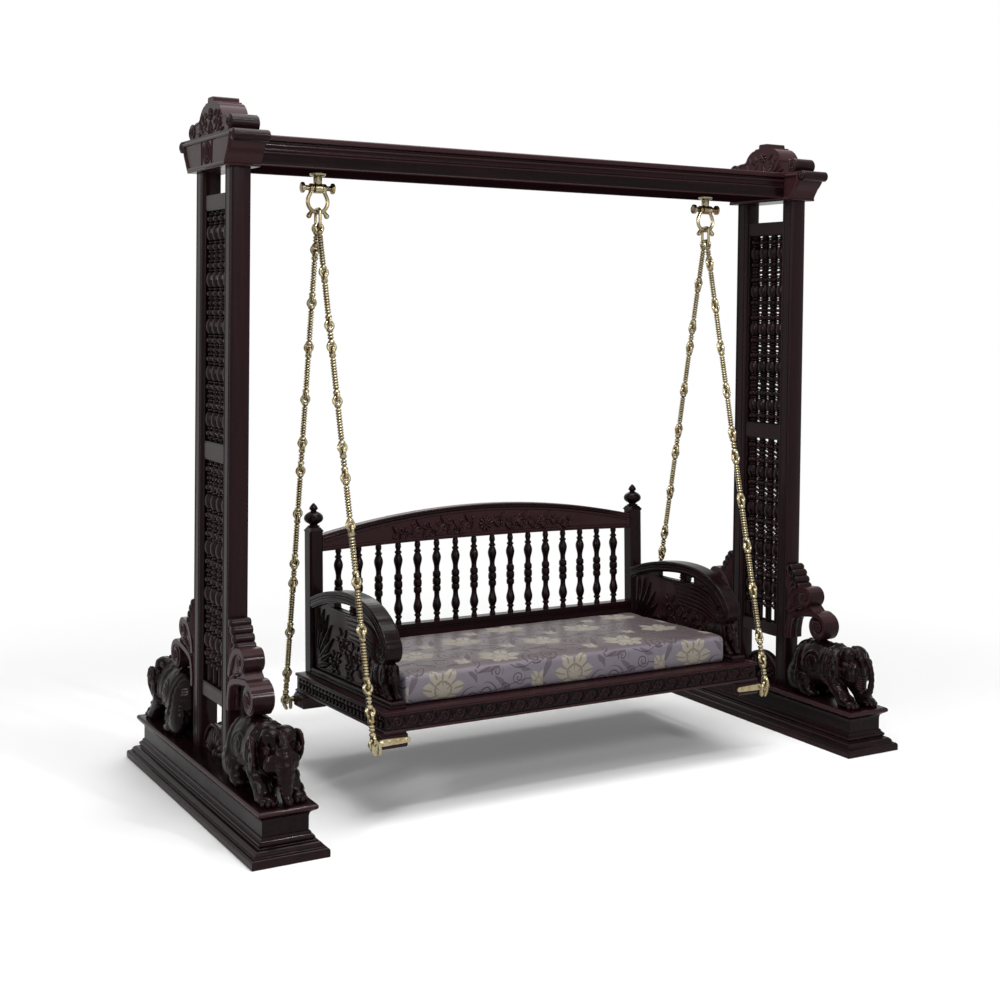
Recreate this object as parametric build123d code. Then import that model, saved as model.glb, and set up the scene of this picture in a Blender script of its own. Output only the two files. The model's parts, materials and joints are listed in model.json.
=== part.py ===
"""A carved jhoola: a seat with a back that hangs on four chains from a beam between two side frames.

Millimetres, +Z up. The origin is on the floor, midway between the side frames and midway front to
back. +X runs along the beam and -Y is the front, the side that a sitter faces.

Everything below the beam pins is laid out level and even from front to back, in what is called
the swing frame here. The seat's back makes it heavier at the rear, so it hangs turned a little
about the pins. hang_tilt() works that angle out, and every hanging piece is turned by it.
"""

from build123d import *
import math
import os

# Side frames
FRAME_SPAN = 2150.0  # between the middles of the two side frames
FRAME_HEIGHT = 2150.0
PLINTH_WIDTH, PLINTH_LENGTH = 230.0, 1170.0
SLAB_HEIGHT, COVE_HEIGHT, BEAD_HEIGHT, BODY_HEIGHT = 18.0, 28.0, 14.0, 68.0  # of the plinth, from the floor
PLINTH_COVE_WIDTH, PLINTH_COVE_LENGTH = 47.0, 44.0  # how far the body stands in from the foot
TOP_BOARD_OVERHANG, TOP_BOARD_THICKNESS = 20.5, 20.0
STILE_WIDTH, STILE_DEPTH = 62.0, 60.0
STILE_SPACING = 258.0  # between the middles of a pair of stiles
STILE_EDGE = 4.0
RAIL_THICKNESS = 46.0
BOTTOM_RAIL_GAP, BOTTOM_RAIL_HEIGHT = 168.0, 40.0  # above the plinth
MIDDLE_RAIL_LOW, MIDDLE_RAIL_HEIGHT = 1053.0, 47.0
TOP_RAIL_GAP, TOP_RAIL_HEIGHT = 73.0, 43.0  # below the capital
LATTICE_COUNT = 4
LATTICE_CORE, LATTICE_BEAD = 10.0, 20.0  # radii
LATTICE_BEAD_PITCH = 143.0  # one long bead for each turned motif
ARCH_GAP, ARCH_THICKNESS = 2.0, 44.0  # between the arch carving and the stiles

# Carved brackets and elephants on the plinths
ELEPHANT_GAP, ELEPHANT_LENGTH, ELEPHANT_HEIGHT, ELEPHANT_WIDTH = 35.0, 386.0, 204.0, 150.0
ELEPHANT_LEG = 28.0
BRACKET_WIDTH = 70.0
BRACKET_ABOVE, BRACKET_BELOW = 246.0, 27.0  # the elephant's back
BRACKET_LEG = 32.0
LARGE_ROLL_REACH, LARGE_ROLL_RISE, LARGE_ROLL = 168.0, 53.0, 48.0  # from the stile, above the back, radius
MIDDLE_ROLL_REACH, MIDDLE_ROLL_RISE, MIDDLE_ROLL = 103.0, 142.0, 37.0
LEAF_ROLL_REACH, LEAF_ROLL_RISE, LEAF_ROLL = 53.0, 193.0, 30.0
BRACKET_EYE_REACH, BRACKET_EYE_RISE, BRACKET_EYE = 70.0, 12.0, 33.0

# Head of each side frame
CREST_HEIGHT, CREST_WIDTH, CREST_CAP = 120.0, 90.0, 22.0
CREST_ROLL_INSET, CREST_ROLL = 66.0, 28.0
CREST_CAP_HEIGHT = 15.0
CREST_SHOULDERS = ((78.0, 16.0), (45.0, 3.0))  # half width, and depth below the cap's foot
CREST_NECK, CREST_NECK_RISE = 96.0, 8.0  # half width, and height above the rolls
CAPITAL_HEIGHT, CAPITAL_WIDTH = 98.0, 114.0
CAPITAL_OVERHANG, CAPITAL_FLARE, CAPITAL_ROLL, CAPITAL_ROLL_RISE = 17.0, 54.0, 18.0, 5.0

# Beam and its hangers
BEAM_DEPTH, BEAM_HEIGHT, BEAM_RISE = 278.0, 93.0, 8.0  # its underside is that much above the capital's
TENON_LENGTH, TENON_DEPTH, TENON_HEIGHT = 60.0, 140.0, 46.0
JOINT_CLEARANCE = 0.5
BEAM_STEP = 8.0  # depth of its flat recess
HANGER_OUTSET = 20.0  # how much further out than the seat's eyes the hangers are
BOLT_RADIUS, BOLT_CLEARANCE, BOLT_END = 14.0, 0.5, 6.0
WASHER_RADIUS, WASHER_THICKNESS = 26.0, 4.0
NUT_FLATS, NUT_HEIGHT = 42.0, 20.0
RECESS_CLEARANCE, RECESS_COVER = 2.0, 4.0  # round the washer, and above the bolt's end
PIN_DROP, PIN_RADIUS, PIN_LENGTH = 46.0, 8.0, 94.0
PIN_HEAD_RADIUS, PIN_HEAD_THICKNESS = 17.0, 9.0
PIN_RUNNING = 0.05  # radial clearance of the bow on the pin
PIN_FIXED = 0.02  # radial clearance of the pin in the bolt's eye
BOSS_RADIUS, BOSS_WIDTH = 17.0, 26.0
BOW_RADIUS, BOW_WIRE, BOW_DROP = 34.0, 6.5, 43.0
BOW_EYE_RADIUS, BOW_EYE_WIDTH, BOW_SIDE_GAP = 14.0, 14.0, 1.0
BOW_TAIL_ANGLE = 138.0  # from straight up

# Chains
WIRE_RADIUS, RING_RADIUS = 4.5, 12.5  # a link's ring: its wire, and the wire's middle line
ROD_RADIUS = 6.0
LINK_GAP = 0.3
CONNECTOR_WIRE, CONNECTOR_LENGTH, CONNECTOR_WIDTH, CONNECTOR_CORNER = 5.0, 59.0, 36.0, 10.0
CHAIN_TOP_OFFSET = 8.0
SHORT_PITCH = 81.0
LINK_ORDER = {
    "left_front": "LLSLLSLLLLSS",
    "right_front": "SLLLLSLLLLSS",
    "left_rear": "SLLLLSLLSLLS",
    "right_rear": "LLSLLSLLSLLS",
}

# Seat
SEAT_LENGTH, SEAT_DEPTH, SEAT_HEIGHT = 1418.0, 684.0, 309.0  # the height is the deck's, above the floor
APRON_HEIGHT, APRON_THICKNESS, APRON_RECESS, APRON_EDGE = 62.0, 34.0, 8.0, 4.5
DECK_THICKNESS = 15.0
BLOCK_LENGTH, BLOCK_DEPTH, BLOCK_HEIGHT, BLOCK_EDGE = 87.0, 78.0, 47.0, 4.0
BLOCK_END_OVERHANG, BLOCK_FACE_SETBACK = 7.0, 4.0
STRAP_HEIGHT, STRAP_THICKNESS, STRAP_DROP = 20.0, 6.0, 24.0  # the drop is below the aprons
EYE_OUTSET = 36.0  # beyond the seat's end
SCREW_RADIUS, SCREW_HEAD, SCREW_COUNT = 5.5, 2.5, 3
CUSHION_THICKNESS, CUSHION_EDGE, CUSHION_GAP = 89.0, 16.0, 3.0
CUSHION_SETBACK = 53.0  # from the seat's front edge

# Back; heights are above the deck
POST_INSET, POST_WIDTH, POST_DEPTH, POST_HEIGHT = 33.0, 48.0, 56.0, 486.0
POST_REAR_SETBACK = 2.0
POST_CHAMFER = 7.0
FINIAL_BALL, FINIAL_HEIGHT = 32.0, 80.0
CREST_RAIL_THICKNESS = 42.0
CREST_RAIL_LOW, CREST_RAIL_END_HEIGHT = 404.0, 55.0
CREST_RAIL_ARCH, CREST_RAIL_UNDER_ARCH = 71.0, 12.0
LOWER_RAIL_HEIGHT, LOWER_RAIL_THICKNESS = 131.0, 42.0
SPINDLE_PITCH, SPINDLE_BULB, SPINDLE_HOUSING = 75.0, 15.0, 5.0
SPINDLE_BEADS = (  # share of the height, share of the bulb's radius, half length
    (0.07, 0.8, 7.0),
    (0.2, 1.0, 24.0),
    (0.44, 0.75, 6.0),
    (0.5, 0.9, 7.0),
    (0.56, 0.75, 6.0),
    (0.8, 1.0, 24.0),
    (0.93, 0.8, 7.0),
)

# Arms; heights are above the deck, and set-backs from the seat's front edge
ARM_INSET, ARM_WIDTH, ARM_THICKNESS = 32.0, 55.0, 38.0
ARM_PEAK_FORWARD, ARM_PEAK_HEIGHT = 20.0, 307.0
ARM_POST_HEIGHT = 257.0
ARM_BEND_SETBACK, ARM_BEND_HEIGHT = 77.0, 232.0
ARM_SCROLL_SETBACK, ARM_SCROLL_HEIGHT, ARM_SCROLL = 70.0, 178.0, 33.0
ARM_BASE_HEIGHT, ARM_BASE_SETBACK = 23.0, 26.0
ARM_PANEL_THICKNESS, ARM_PANEL_SETBACK = 34.0, 88.0
ARM_WINDOW_HEIGHT, ARM_WINDOW_REACH, ARM_KNOB = 239.0, 150.0, 36.0
ARM_ELEPHANT_SETBACK, ARM_ELEPHANT_LENGTH, ARM_ELEPHANT_HEIGHT = 29.0, 53.0, 131.0

DENSITY = {"wood": 600.0, "brass": 8500.0, "fabric": 300.0}  # kg per cubic metre

# Worked out from the sizes above
FRAME_X = FRAME_SPAN / 2
COVE_TOP = SLAB_HEIGHT + COVE_HEIGHT
BEAD_TOP = COVE_TOP + BEAD_HEIGHT
PLINTH_BODY_TOP = BEAD_TOP + BODY_HEIGHT
PLINTH_TOP = PLINTH_BODY_TOP + TOP_BOARD_THICKNESS
PLINTH_BODY_WIDTH = PLINTH_WIDTH - 2 * PLINTH_COVE_WIDTH
PLINTH_BODY_LENGTH = PLINTH_LENGTH - 2 * PLINTH_COVE_LENGTH
STILE_INNER = STILE_SPACING / 2 - STILE_DEPTH / 2
STILE_OUTER = STILE_SPACING / 2 + STILE_DEPTH / 2
CAPITAL_TOP = FRAME_HEIGHT - CREST_HEIGHT
CAPITAL_BOTTOM = CAPITAL_TOP - CAPITAL_HEIGHT
CAPITAL_FOOT = STILE_OUTER + CAPITAL_OVERHANG
CAPITAL_ROLL_CENTRE = CAPITAL_FOOT + CAPITAL_FLARE
CREST_ROLL_CENTRE = CAPITAL_ROLL_CENTRE - CREST_ROLL_INSET
BEAM_BOTTOM = CAPITAL_BOTTOM + BEAM_RISE
BEAM_TOP = BEAM_BOTTOM + BEAM_HEIGHT
NUT_SEAT = BEAM_TOP - RECESS_COVER - BOLT_END - NUT_HEIGHT - WASHER_THICKNESS
PIN_HEIGHT = BEAM_BOTTOM - PIN_DROP
BOTTOM_RAIL = (PLINTH_TOP + BOTTOM_RAIL_GAP, PLINTH_TOP + BOTTOM_RAIL_GAP + BOTTOM_RAIL_HEIGHT)
MIDDLE_RAIL = (MIDDLE_RAIL_LOW, MIDDLE_RAIL_LOW + MIDDLE_RAIL_HEIGHT)
TOP_RAIL = (CAPITAL_BOTTOM - TOP_RAIL_GAP - TOP_RAIL_HEIGHT, CAPITAL_BOTTOM - TOP_RAIL_GAP)
ARCH_RADIUS = STILE_INNER - ARCH_GAP
ELEPHANT_REAR = STILE_OUTER + ELEPHANT_GAP
ELEPHANT_NOSE = ELEPHANT_REAR + ELEPHANT_LENGTH
ELEPHANT_BACK = PLINTH_TOP + ELEPHANT_HEIGHT
HALF_SEAT_X, HALF_SEAT_Y = SEAT_LENGTH / 2, SEAT_DEPTH / 2
APRON_TOP, APRON_BOTTOM = SEAT_HEIGHT, SEAT_HEIGHT - APRON_HEIGHT
EYE_HEIGHT = APRON_BOTTOM - STRAP_DROP
EYE_X = HALF_SEAT_X + EYE_OUTSET
HANGER_X = EYE_X + HANGER_OUTSET
POST_X = HALF_SEAT_X - POST_INSET - POST_WIDTH / 2
POST_FRONT = HALF_SEAT_Y - POST_REAR_SETBACK - POST_DEPTH
POST_MIDDLE = POST_FRONT + POST_DEPTH / 2
POST_TOP = SEAT_HEIGHT + POST_HEIGHT
RAIL_HALF = POST_X - POST_WIDTH / 2
ARM_X = HALF_SEAT_X - ARM_INSET - ARM_WIDTH / 2
ARM_INNER = ARM_X - ARM_WIDTH / 2
ARM_PEAK = (-ARM_PEAK_FORWARD, SEAT_HEIGHT + ARM_PEAK_HEIGHT)
ARM_BEND = (ARM_BEND_SETBACK - HALF_SEAT_Y, SEAT_HEIGHT + ARM_BEND_HEIGHT)
ARM_SCROLL_CENTRE = (ARM_SCROLL_SETBACK - HALF_SEAT_Y, SEAT_HEIGHT + ARM_SCROLL_HEIGHT)
ARM_POST_TOP = SEAT_HEIGHT + ARM_POST_HEIGHT
BOW_CENTRE_Z = PIN_HEIGHT - BOW_DROP
BOW_LOWEST = BOW_CENTRE_Z - BOW_RADIUS
CONNECTOR_TOP = BOW_LOWEST + BOW_WIRE + CONNECTOR_WIRE + LINK_GAP
CONNECTOR_LOW = CONNECTOR_TOP - CONNECTOR_LENGTH
UPPER_KNOT_Z = CONNECTOR_LOW + CONNECTOR_WIRE + LINK_GAP / 2
LOWER_KNOT_Z = EYE_HEIGHT + RING_RADIUS - WIRE_RADIUS - LINK_GAP / 2
BLOCK_FACE = HALF_SEAT_Y - BLOCK_FACE_SETBACK
EYE_Y = BLOCK_FACE + STRAP_THICKNESS / 2
SIDES = {"left": -1, "right": 1}
ENDS = {"front": -1, "rear": 1}


# Plain shapes


def block(x, y, z):
    """A box between two limits on each axis."""
    middle = Pos((x[0] + x[1]) / 2, (y[0] + y[1]) / 2, (z[0] + z[1]) / 2)
    return middle * Box(x[1] - x[0], y[1] - y[0], z[1] - z[0])


def centred(middle, width):
    """The two limits of a width about a middle."""
    return middle - width / 2, middle + width / 2


def ordered(a, b):
    """Two limits, lower one first."""
    return min(a, b), max(a, b)


def outline(*points):
    """A closed flat outline through points."""
    return make_face(Polyline(*points, close=True))


def along_x(sketch, x):
    """A sketch drawn as (Y, Z) pushed out between two X limits."""
    plane = Plane(origin=(x[0], 0, 0), x_dir=(0, 1, 0), z_dir=(1, 0, 0))
    return extrude(plane * sketch, x[1] - x[0])


def along_y(sketch, y):
    """A sketch drawn as (X, Z) pushed out between two Y limits."""
    plane = Plane(origin=(0, y[1], 0), x_dir=(1, 0, 0), z_dir=(0, -1, 0))
    return extrude(plane * sketch, y[1] - y[0])


def rod_x(radius, x, y, z):
    """A round bar along X between two limits."""
    turned = Pos((x[0] + x[1]) / 2, y, z) * Rot(0, 90, 0)
    return turned * Cylinder(radius, x[1] - x[0])


def rod_y(radius, x, y, z):
    """A round bar along Y between two limits."""
    turned = Pos(x, (y[0] + y[1]) / 2, z) * Rot(90, 0, 0)
    return turned * Cylinder(radius, y[1] - y[0])


def rod_z(radius, x, y, z):
    """A round bar along Z between two limits."""
    return Pos(x, y, (z[0] + z[1]) / 2) * Cylinder(radius, z[1] - z[0])


def mirror_y(shape, end):
    """The shape as drawn at +Y for the rear end, or its mirror image for the front end."""
    if end > 0:
        return shape
    return mirror(shape, about=Plane.XZ)


def turned_piece(low, high, core, beads):
    """A turned spindle on the Z axis: a core with round beads, each (height, radius, half length)."""
    edges = [Line((0, low), (core, low))]
    at = low
    for height, radius, half in beads:
        edges.append(Line((core, at), (core, height - half)))
        edges.append(ThreePointArc((core, height - half), (radius, height), (core, height + half)))
        at = height + half
    edges.append(Line((core, at), (core, high)))
    edges.append(Line((core, high), (0, high)))
    edges.append(Line((0, high), (0, low)))
    return revolve(Plane.XZ * make_face(Curve() + edges), Axis.Z)


# Side frames


def plinth(side):
    """Moulded base: a flat foot, a cove, a bead and an upright body."""
    x = side * FRAME_X
    foot = block(centred(x, PLINTH_WIDTH), centred(0, PLINTH_LENGTH), (0, SLAB_HEIGHT))
    foot = fillet(foot.edges().filter_by(Plane.XY).group_by(Axis.Z)[-1], SLAB_HEIGHT / 3)
    inset = 3.0
    rounded = SLAB_HEIGHT * 2 / 3 + inset
    wide = Rectangle(PLINTH_WIDTH - rounded, PLINTH_LENGTH - rounded)
    narrow = Rectangle(PLINTH_BODY_WIDTH + inset, PLINTH_BODY_LENGTH + inset)
    cove = loft([Pos(x, 0, SLAB_HEIGHT) * wide, Pos(x, 0, COVE_TOP) * narrow])
    bead_width = PLINTH_BODY_WIDTH + COVE_TOP - SLAB_HEIGHT
    bead_length = PLINTH_BODY_LENGTH + COVE_TOP - SLAB_HEIGHT
    bead = block(centred(x, bead_width), centred(0, bead_length), (COVE_TOP, BEAD_TOP))
    bead = fillet(bead.edges().filter_by(Plane.XY), (BEAD_TOP - COVE_TOP) / 2.5)
    body = block(
        centred(x, PLINTH_BODY_WIDTH),
        centred(0, PLINTH_BODY_LENGTH),
        (BEAD_TOP - inset, PLINTH_BODY_TOP),
    )
    return foot + cove + bead + body


def plinth_top(side):
    """Flat board on the plinth, with a rounded edge."""
    board = block(
        centred(side * FRAME_X, PLINTH_BODY_WIDTH + 2 * TOP_BOARD_OVERHANG),
        centred(0, PLINTH_BODY_LENGTH + 2 * TOP_BOARD_OVERHANG),
        (PLINTH_BODY_TOP, PLINTH_TOP),
    )
    return fillet(board.edges().filter_by(Plane.XY), TOP_BOARD_THICKNESS * 0.4)


def stile(side, end):
    """Upright post from the plinth's top board to the capital."""
    post = block(
        centred(side * FRAME_X, STILE_WIDTH),
        centred(end * STILE_SPACING / 2, STILE_DEPTH),
        (PLINTH_TOP, CAPITAL_BOTTOM),
    )
    return fillet(post.edges().filter_by(Axis.Z), STILE_EDGE)


def rails(side):
    """The three cross rails between a pair of stiles."""
    x = centred(side * FRAME_X, RAIL_THICKNESS)
    return [block(x, (-STILE_INNER, STILE_INNER), z) for z in (BOTTOM_RAIL, MIDDLE_RAIL, TOP_RAIL)]


def lattice(side, low, high):
    """Beaded spindles side by side between two rails."""
    half = LATTICE_BEAD_PITCH * 0.42
    count = int((high - low - 2 * half) / LATTICE_BEAD_PITCH) + 1
    first = (low + high) / 2 - (count - 1) * LATTICE_BEAD_PITCH / 2
    beads = [(first + i * LATTICE_BEAD_PITCH, LATTICE_BEAD, half) for i in range(count)]
    spindle = turned_piece(low, high, LATTICE_CORE, beads)
    pitch = 2 * STILE_INNER / LATTICE_COUNT
    offsets = [(i - (LATTICE_COUNT - 1) / 2) * pitch for i in range(LATTICE_COUNT)]
    return [Pos(side * FRAME_X, y, 0) * spindle for y in offsets]


def arch_carving(side):
    """Half-round fan that stands on the plinth between the stiles."""
    fan = Pos(0, PLINTH_TOP) * Circle(ARCH_RADIUS)
    keep = Pos(0, PLINTH_TOP + ARCH_RADIUS) * Rectangle(4 * ARCH_RADIUS, 2 * ARCH_RADIUS)
    return along_x(fan & keep, centred(side * FRAME_X, ARCH_THICKNESS))


def scroll_bracket(side, end):
    """Scrolled bracket on a stile's outer face, with an open eye above the elephant's back."""
    inner = STILE_OUTER
    top, foot = ELEPHANT_BACK + BRACKET_ABOVE, ELEPHANT_BACK - BRACKET_BELOW
    large = (inner + LARGE_ROLL_REACH, ELEPHANT_BACK + LARGE_ROLL_RISE)
    middle = (inner + MIDDLE_ROLL_REACH, ELEPHANT_BACK + MIDDLE_ROLL_RISE)
    leaf = (inner + LEAF_ROLL_REACH, ELEPHANT_BACK + LEAF_ROLL_RISE)
    blade = outline(
        (inner, top),
        (leaf[0], leaf[1] + LEAF_ROLL * 0.8),
        (middle[0], middle[1] + MIDDLE_ROLL * 0.7),
        (large[0], large[1] + LARGE_ROLL * 0.7),
        (large[0], large[1] - LARGE_ROLL * 0.5),
        (inner, large[1] - LARGE_ROLL * 0.5),
    )
    leg = outline(
        (inner, top),
        (inner + BRACKET_LEG, top - BRACKET_LEG),
        (inner + BRACKET_LEG, foot),
        (inner, foot),
    )
    shape = blade + leg
    for centre, radius in ((large, LARGE_ROLL), (middle, MIDDLE_ROLL), (leaf, LEAF_ROLL)):
        shape = shape + Pos(*centre) * Circle(radius)
    eye = (inner + BRACKET_EYE_REACH, ELEPHANT_BACK + BRACKET_EYE_RISE)
    mouth = Pos(eye[0], eye[1] - BRACKET_EYE / 2) * Rectangle(2 * BRACKET_EYE, 3 * BRACKET_EYE)
    shape = shape - Pos(*eye) * Circle(BRACKET_EYE) - mouth
    above_foot = Pos(large[0], foot + large[0]) * Rectangle(4 * large[0], 2 * large[0])
    return mirror_y(along_x(shape & above_foot, centred(side * FRAME_X, BRACKET_WIDTH)), end)


def elephant(side, end):
    """Standing elephant on the plinth, facing away from the stiles."""
    x = side * FRAME_X
    length = ELEPHANT_NOSE - ELEPHANT_REAR
    belly = PLINTH_TOP + 0.32 * (ELEPHANT_BACK - PLINTH_TOP)
    shoulder = ELEPHANT_REAR + 0.72 * length
    body = block(centred(x, ELEPHANT_WIDTH), (ELEPHANT_REAR, shoulder), (belly, ELEPHANT_BACK))
    body = fillet(body.edges(), ELEPHANT_WIDTH * 0.24)
    head_width = ELEPHANT_WIDTH * 0.66
    head_front = ELEPHANT_REAR + 0.9 * length
    head_low = belly + 0.15 * (ELEPHANT_BACK - PLINTH_TOP)
    head = block(centred(x, head_width), (shoulder - 0.12 * length, head_front), (head_low, ELEPHANT_BACK))
    shape = body + fillet(head.edges(), head_width * 0.24)
    for lean in (-1, 1):
        for share in (0.14, 0.6):
            leg_x = x + lean * (ELEPHANT_WIDTH / 2 - ELEPHANT_LEG)
            leg_y = ELEPHANT_REAR + share * length
            shape += rod_z(ELEPHANT_LEG, leg_x, leg_y, (PLINTH_TOP, belly + ELEPHANT_LEG * 1.5))
    trunk_width = ELEPHANT_LEG * 1.3
    root = head_front - 0.12 * length
    middle_z = (head_low + ELEPHANT_BACK) / 2
    tip_z = PLINTH_TOP + 0.1 * (ELEPHANT_BACK - PLINTH_TOP)
    if side < 0:
        trunk = outline(
            (root, middle_z + trunk_width / 2),
            (head_front + 0.04 * length, middle_z),
            (ELEPHANT_NOSE, tip_z),
            (ELEPHANT_NOSE - trunk_width, tip_z),
            (root, head_low),
        )
    else:
        trunk = outline(
            (root, middle_z - trunk_width / 2),
            (ELEPHANT_NOSE - trunk_width, belly),
            (ELEPHANT_NOSE, belly + trunk_width),
            (ELEPHANT_NOSE, middle_z + trunk_width),
            (ELEPHANT_NOSE - trunk_width, middle_z + trunk_width),
            (ELEPHANT_NOSE - trunk_width, belly + trunk_width * 1.3),
            (root, middle_z + trunk_width / 2),
        )
    shape += along_x(trunk, centred(x, trunk_width))
    return mirror_y(shape, end)


def capital(side):
    """Flared block on a pair of stiles, with a mortise in its inner face for the beam."""
    x = side * FRAME_X
    roll_z = CAPITAL_TOP + CAPITAL_ROLL_RISE - CAPITAL_ROLL
    neck = CAPITAL_FOOT + 0.35 * (CAPITAL_ROLL_CENTRE - CAPITAL_FOOT)
    cove_z = (CAPITAL_BOTTOM + roll_z) / 2
    half = [
        (CAPITAL_FOOT, CAPITAL_BOTTOM),
        (neck, cove_z),
        (CAPITAL_ROLL_CENTRE, roll_z),
        (CAPITAL_ROLL_CENTRE, CAPITAL_TOP),
    ]
    shape = outline(*half, *[(-y, z) for y, z in reversed(half)])
    for end in ENDS.values():
        shape = shape + Pos(end * CAPITAL_ROLL_CENTRE, roll_z) * Circle(CAPITAL_ROLL)
    solid = along_x(shape, centred(x, CAPITAL_WIDTH))
    return solid - beam_tenon(side, JOINT_CLEARANCE)


def crest(side):
    """Arched carving on top of a capital, rolled at both ends."""
    roll_z = CAPITAL_TOP + CREST_ROLL
    roll_top = roll_z + CREST_ROLL
    cap_z = FRAME_HEIGHT - CREST_CAP_HEIGHT
    half = [
        (CREST_ROLL_CENTRE - CREST_ROLL / 2, CAPITAL_TOP),
        (CREST_ROLL_CENTRE, roll_z),
        (CREST_ROLL_CENTRE - CREST_ROLL * 0.8, roll_top - CREST_ROLL * 0.1),
        (CREST_NECK, roll_top + CREST_NECK_RISE),
        *[(y, cap_z - drop) for y, drop in CREST_SHOULDERS],
        (CREST_CAP, cap_z),
        (CREST_CAP, FRAME_HEIGHT),
    ]
    shape = outline(*half, *[(-y, z) for y, z in reversed(half)])
    for end in ENDS.values():
        shape = shape + Pos(end * CREST_ROLL_CENTRE, roll_z) * Circle(CREST_ROLL)
    return along_x(shape, centred(side * FRAME_X, CREST_WIDTH))


# Beam and hangers


def beam_tenon(side, clearance=0.0):
    """The beam's tenon in a capital, or with a clearance the mortise that takes it."""
    face = FRAME_X - CAPITAL_WIDTH / 2
    middle_z = (BEAM_BOTTOM + BEAM_TOP) / 2
    tip = side * (face + TENON_LENGTH + clearance)
    root = side * (face - (10 if clearance else 0))
    return block(
        ordered(root, tip),
        centred(0, TENON_DEPTH + 2 * clearance),
        centred(middle_z, TENON_HEIGHT + 2 * clearance),
    )


def beam():
    """Moulded beam between the capitals, with a tenon at each end and a recessed hole for each bolt."""
    depth, step = BEAM_DEPTH / 2, BEAM_STEP
    height = BEAM_TOP - BEAM_BOTTOM
    half = [
        (depth - step, BEAM_BOTTOM),
        (depth, BEAM_BOTTOM + step),
        (depth, BEAM_BOTTOM + 0.24 * height),
        (depth - step, BEAM_BOTTOM + 0.32 * height),
        (depth - step, BEAM_BOTTOM + 0.68 * height),
        (depth, BEAM_BOTTOM + 0.76 * height),
        (depth, BEAM_TOP),
    ]
    section = outline(*half, *[(-y, z) for y, z in reversed(half)])
    face = FRAME_X - CAPITAL_WIDTH / 2
    solid = along_x(section, (-face, face))
    for side in SIDES.values():
        solid += beam_tenon(side)
        x = side * HANGER_X
        solid -= rod_z(BOLT_RADIUS + BOLT_CLEARANCE, x, 0, (BEAM_BOTTOM - 5, BEAM_TOP + 5))
        solid -= rod_z(WASHER_RADIUS + RECESS_CLEARANCE, x, 0, (NUT_SEAT, BEAM_TOP + 5))
    return solid


def washer(x, low):
    """Flat washer round a hanger bolt."""
    disc = rod_z(WASHER_RADIUS, x, 0, (low, low + WASHER_THICKNESS))
    return disc - rod_z(BOLT_RADIUS + BOLT_CLEARANCE, x, 0, (low - 1, low + WASHER_THICKNESS + 1))


def hanger_bolt(side):
    """Eye bolt through the beam, with a collar under it and a washer and nut sunk in its top."""
    x = side * HANGER_X
    nut_low = NUT_SEAT + WASHER_THICKNESS
    nut_top = nut_low + NUT_HEIGHT
    bolt = rod_z(BOLT_RADIUS, x, 0, (PIN_HEIGHT, nut_top + BOLT_END))
    bolt += rod_z(WASHER_RADIUS, x, 0, (BEAM_BOTTOM - WASHER_THICKNESS, BEAM_BOTTOM))
    bolt += rod_x(BOSS_RADIUS, centred(x, BOSS_WIDTH), 0, PIN_HEIGHT)
    bolt -= rod_x(PIN_RADIUS + PIN_FIXED, centred(x, BOSS_WIDTH * 2), 0, PIN_HEIGHT)
    hexagon = RegularPolygon(NUT_FLATS / 2, 6, major_radius=False)
    nut = extrude(Pos(x, 0, nut_low) * hexagon, NUT_HEIGHT)
    nut -= rod_z(BOLT_RADIUS, x, 0, (nut_low - 1, nut_top + 1))
    return [bolt, washer(x, NUT_SEAT), nut]


def hanger_pin(side):
    """Headed pin along X through the bolt's eye."""
    x = side * HANGER_X
    half = PIN_LENGTH / 2
    pin = rod_x(PIN_RADIUS, centred(x, PIN_LENGTH), 0, PIN_HEIGHT)
    for end in (-1, 1):
        inner = x + end * half
        head = ordered(inner, inner + end * PIN_HEAD_THICKNESS)
        pin += rod_x(PIN_HEAD_RADIUS, head, 0, PIN_HEIGHT)
    rims = pin.edges().filter_by(GeomType.CIRCLE).group_by(Axis.X)
    return fillet(rims[0] + rims[-1], PIN_HEAD_THICKNESS / 3)


def bow_shackle(side):
    """Bow that swings on the pin by two eyes, with a short tail at each lower side."""
    eye_middle = BOSS_WIDTH / 2 + BOW_SIDE_GAP + BOW_EYE_WIDTH / 2
    mouth = eye_middle - BOW_WIRE / 2
    arm_low = -BOW_DROP + math.sqrt(BOW_RADIUS**2 - eye_middle**2) - BOW_WIRE / 2
    ring = Pos(0, 0, -BOW_DROP) * Rot(90, 0, 0) * Rot(0, 0, 90) * Torus(BOW_RADIUS, BOW_WIRE)
    shape = ring - block(centred(0, 2 * mouth), centred(0, 4 * BOW_WIRE), (-BOW_DROP, BOW_RADIUS))
    seam_aside = Rot(0, 0, 50)
    for lean in (-1, 1):
        eye_x = lean * eye_middle
        arm_rod = Pos(eye_x, 0, arm_low / 2) * seam_aside * Cylinder(BOW_WIRE, -arm_low)
        eye = Pos(eye_x, 0, 0) * Rot(0, 90, 0) * Cylinder(BOW_EYE_RADIUS, BOW_EYE_WIDTH)
        tail = Pos(0, 0, BOW_RADIUS + BOW_WIRE) * seam_aside * Cylinder(BOW_WIRE * 0.9, 4 * BOW_WIRE)
        shape = shape + arm_rod + eye + Pos(0, 0, -BOW_DROP) * Rot(0, lean * BOW_TAIL_ANGLE, 0) * tail
    shape -= Rot(0, 90, 0) * Cylinder(PIN_RADIUS + PIN_RUNNING, 6 * eye_middle)
    return Pos(side * HANGER_X, 0, PIN_HEIGHT) * shape


# Chains


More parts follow.
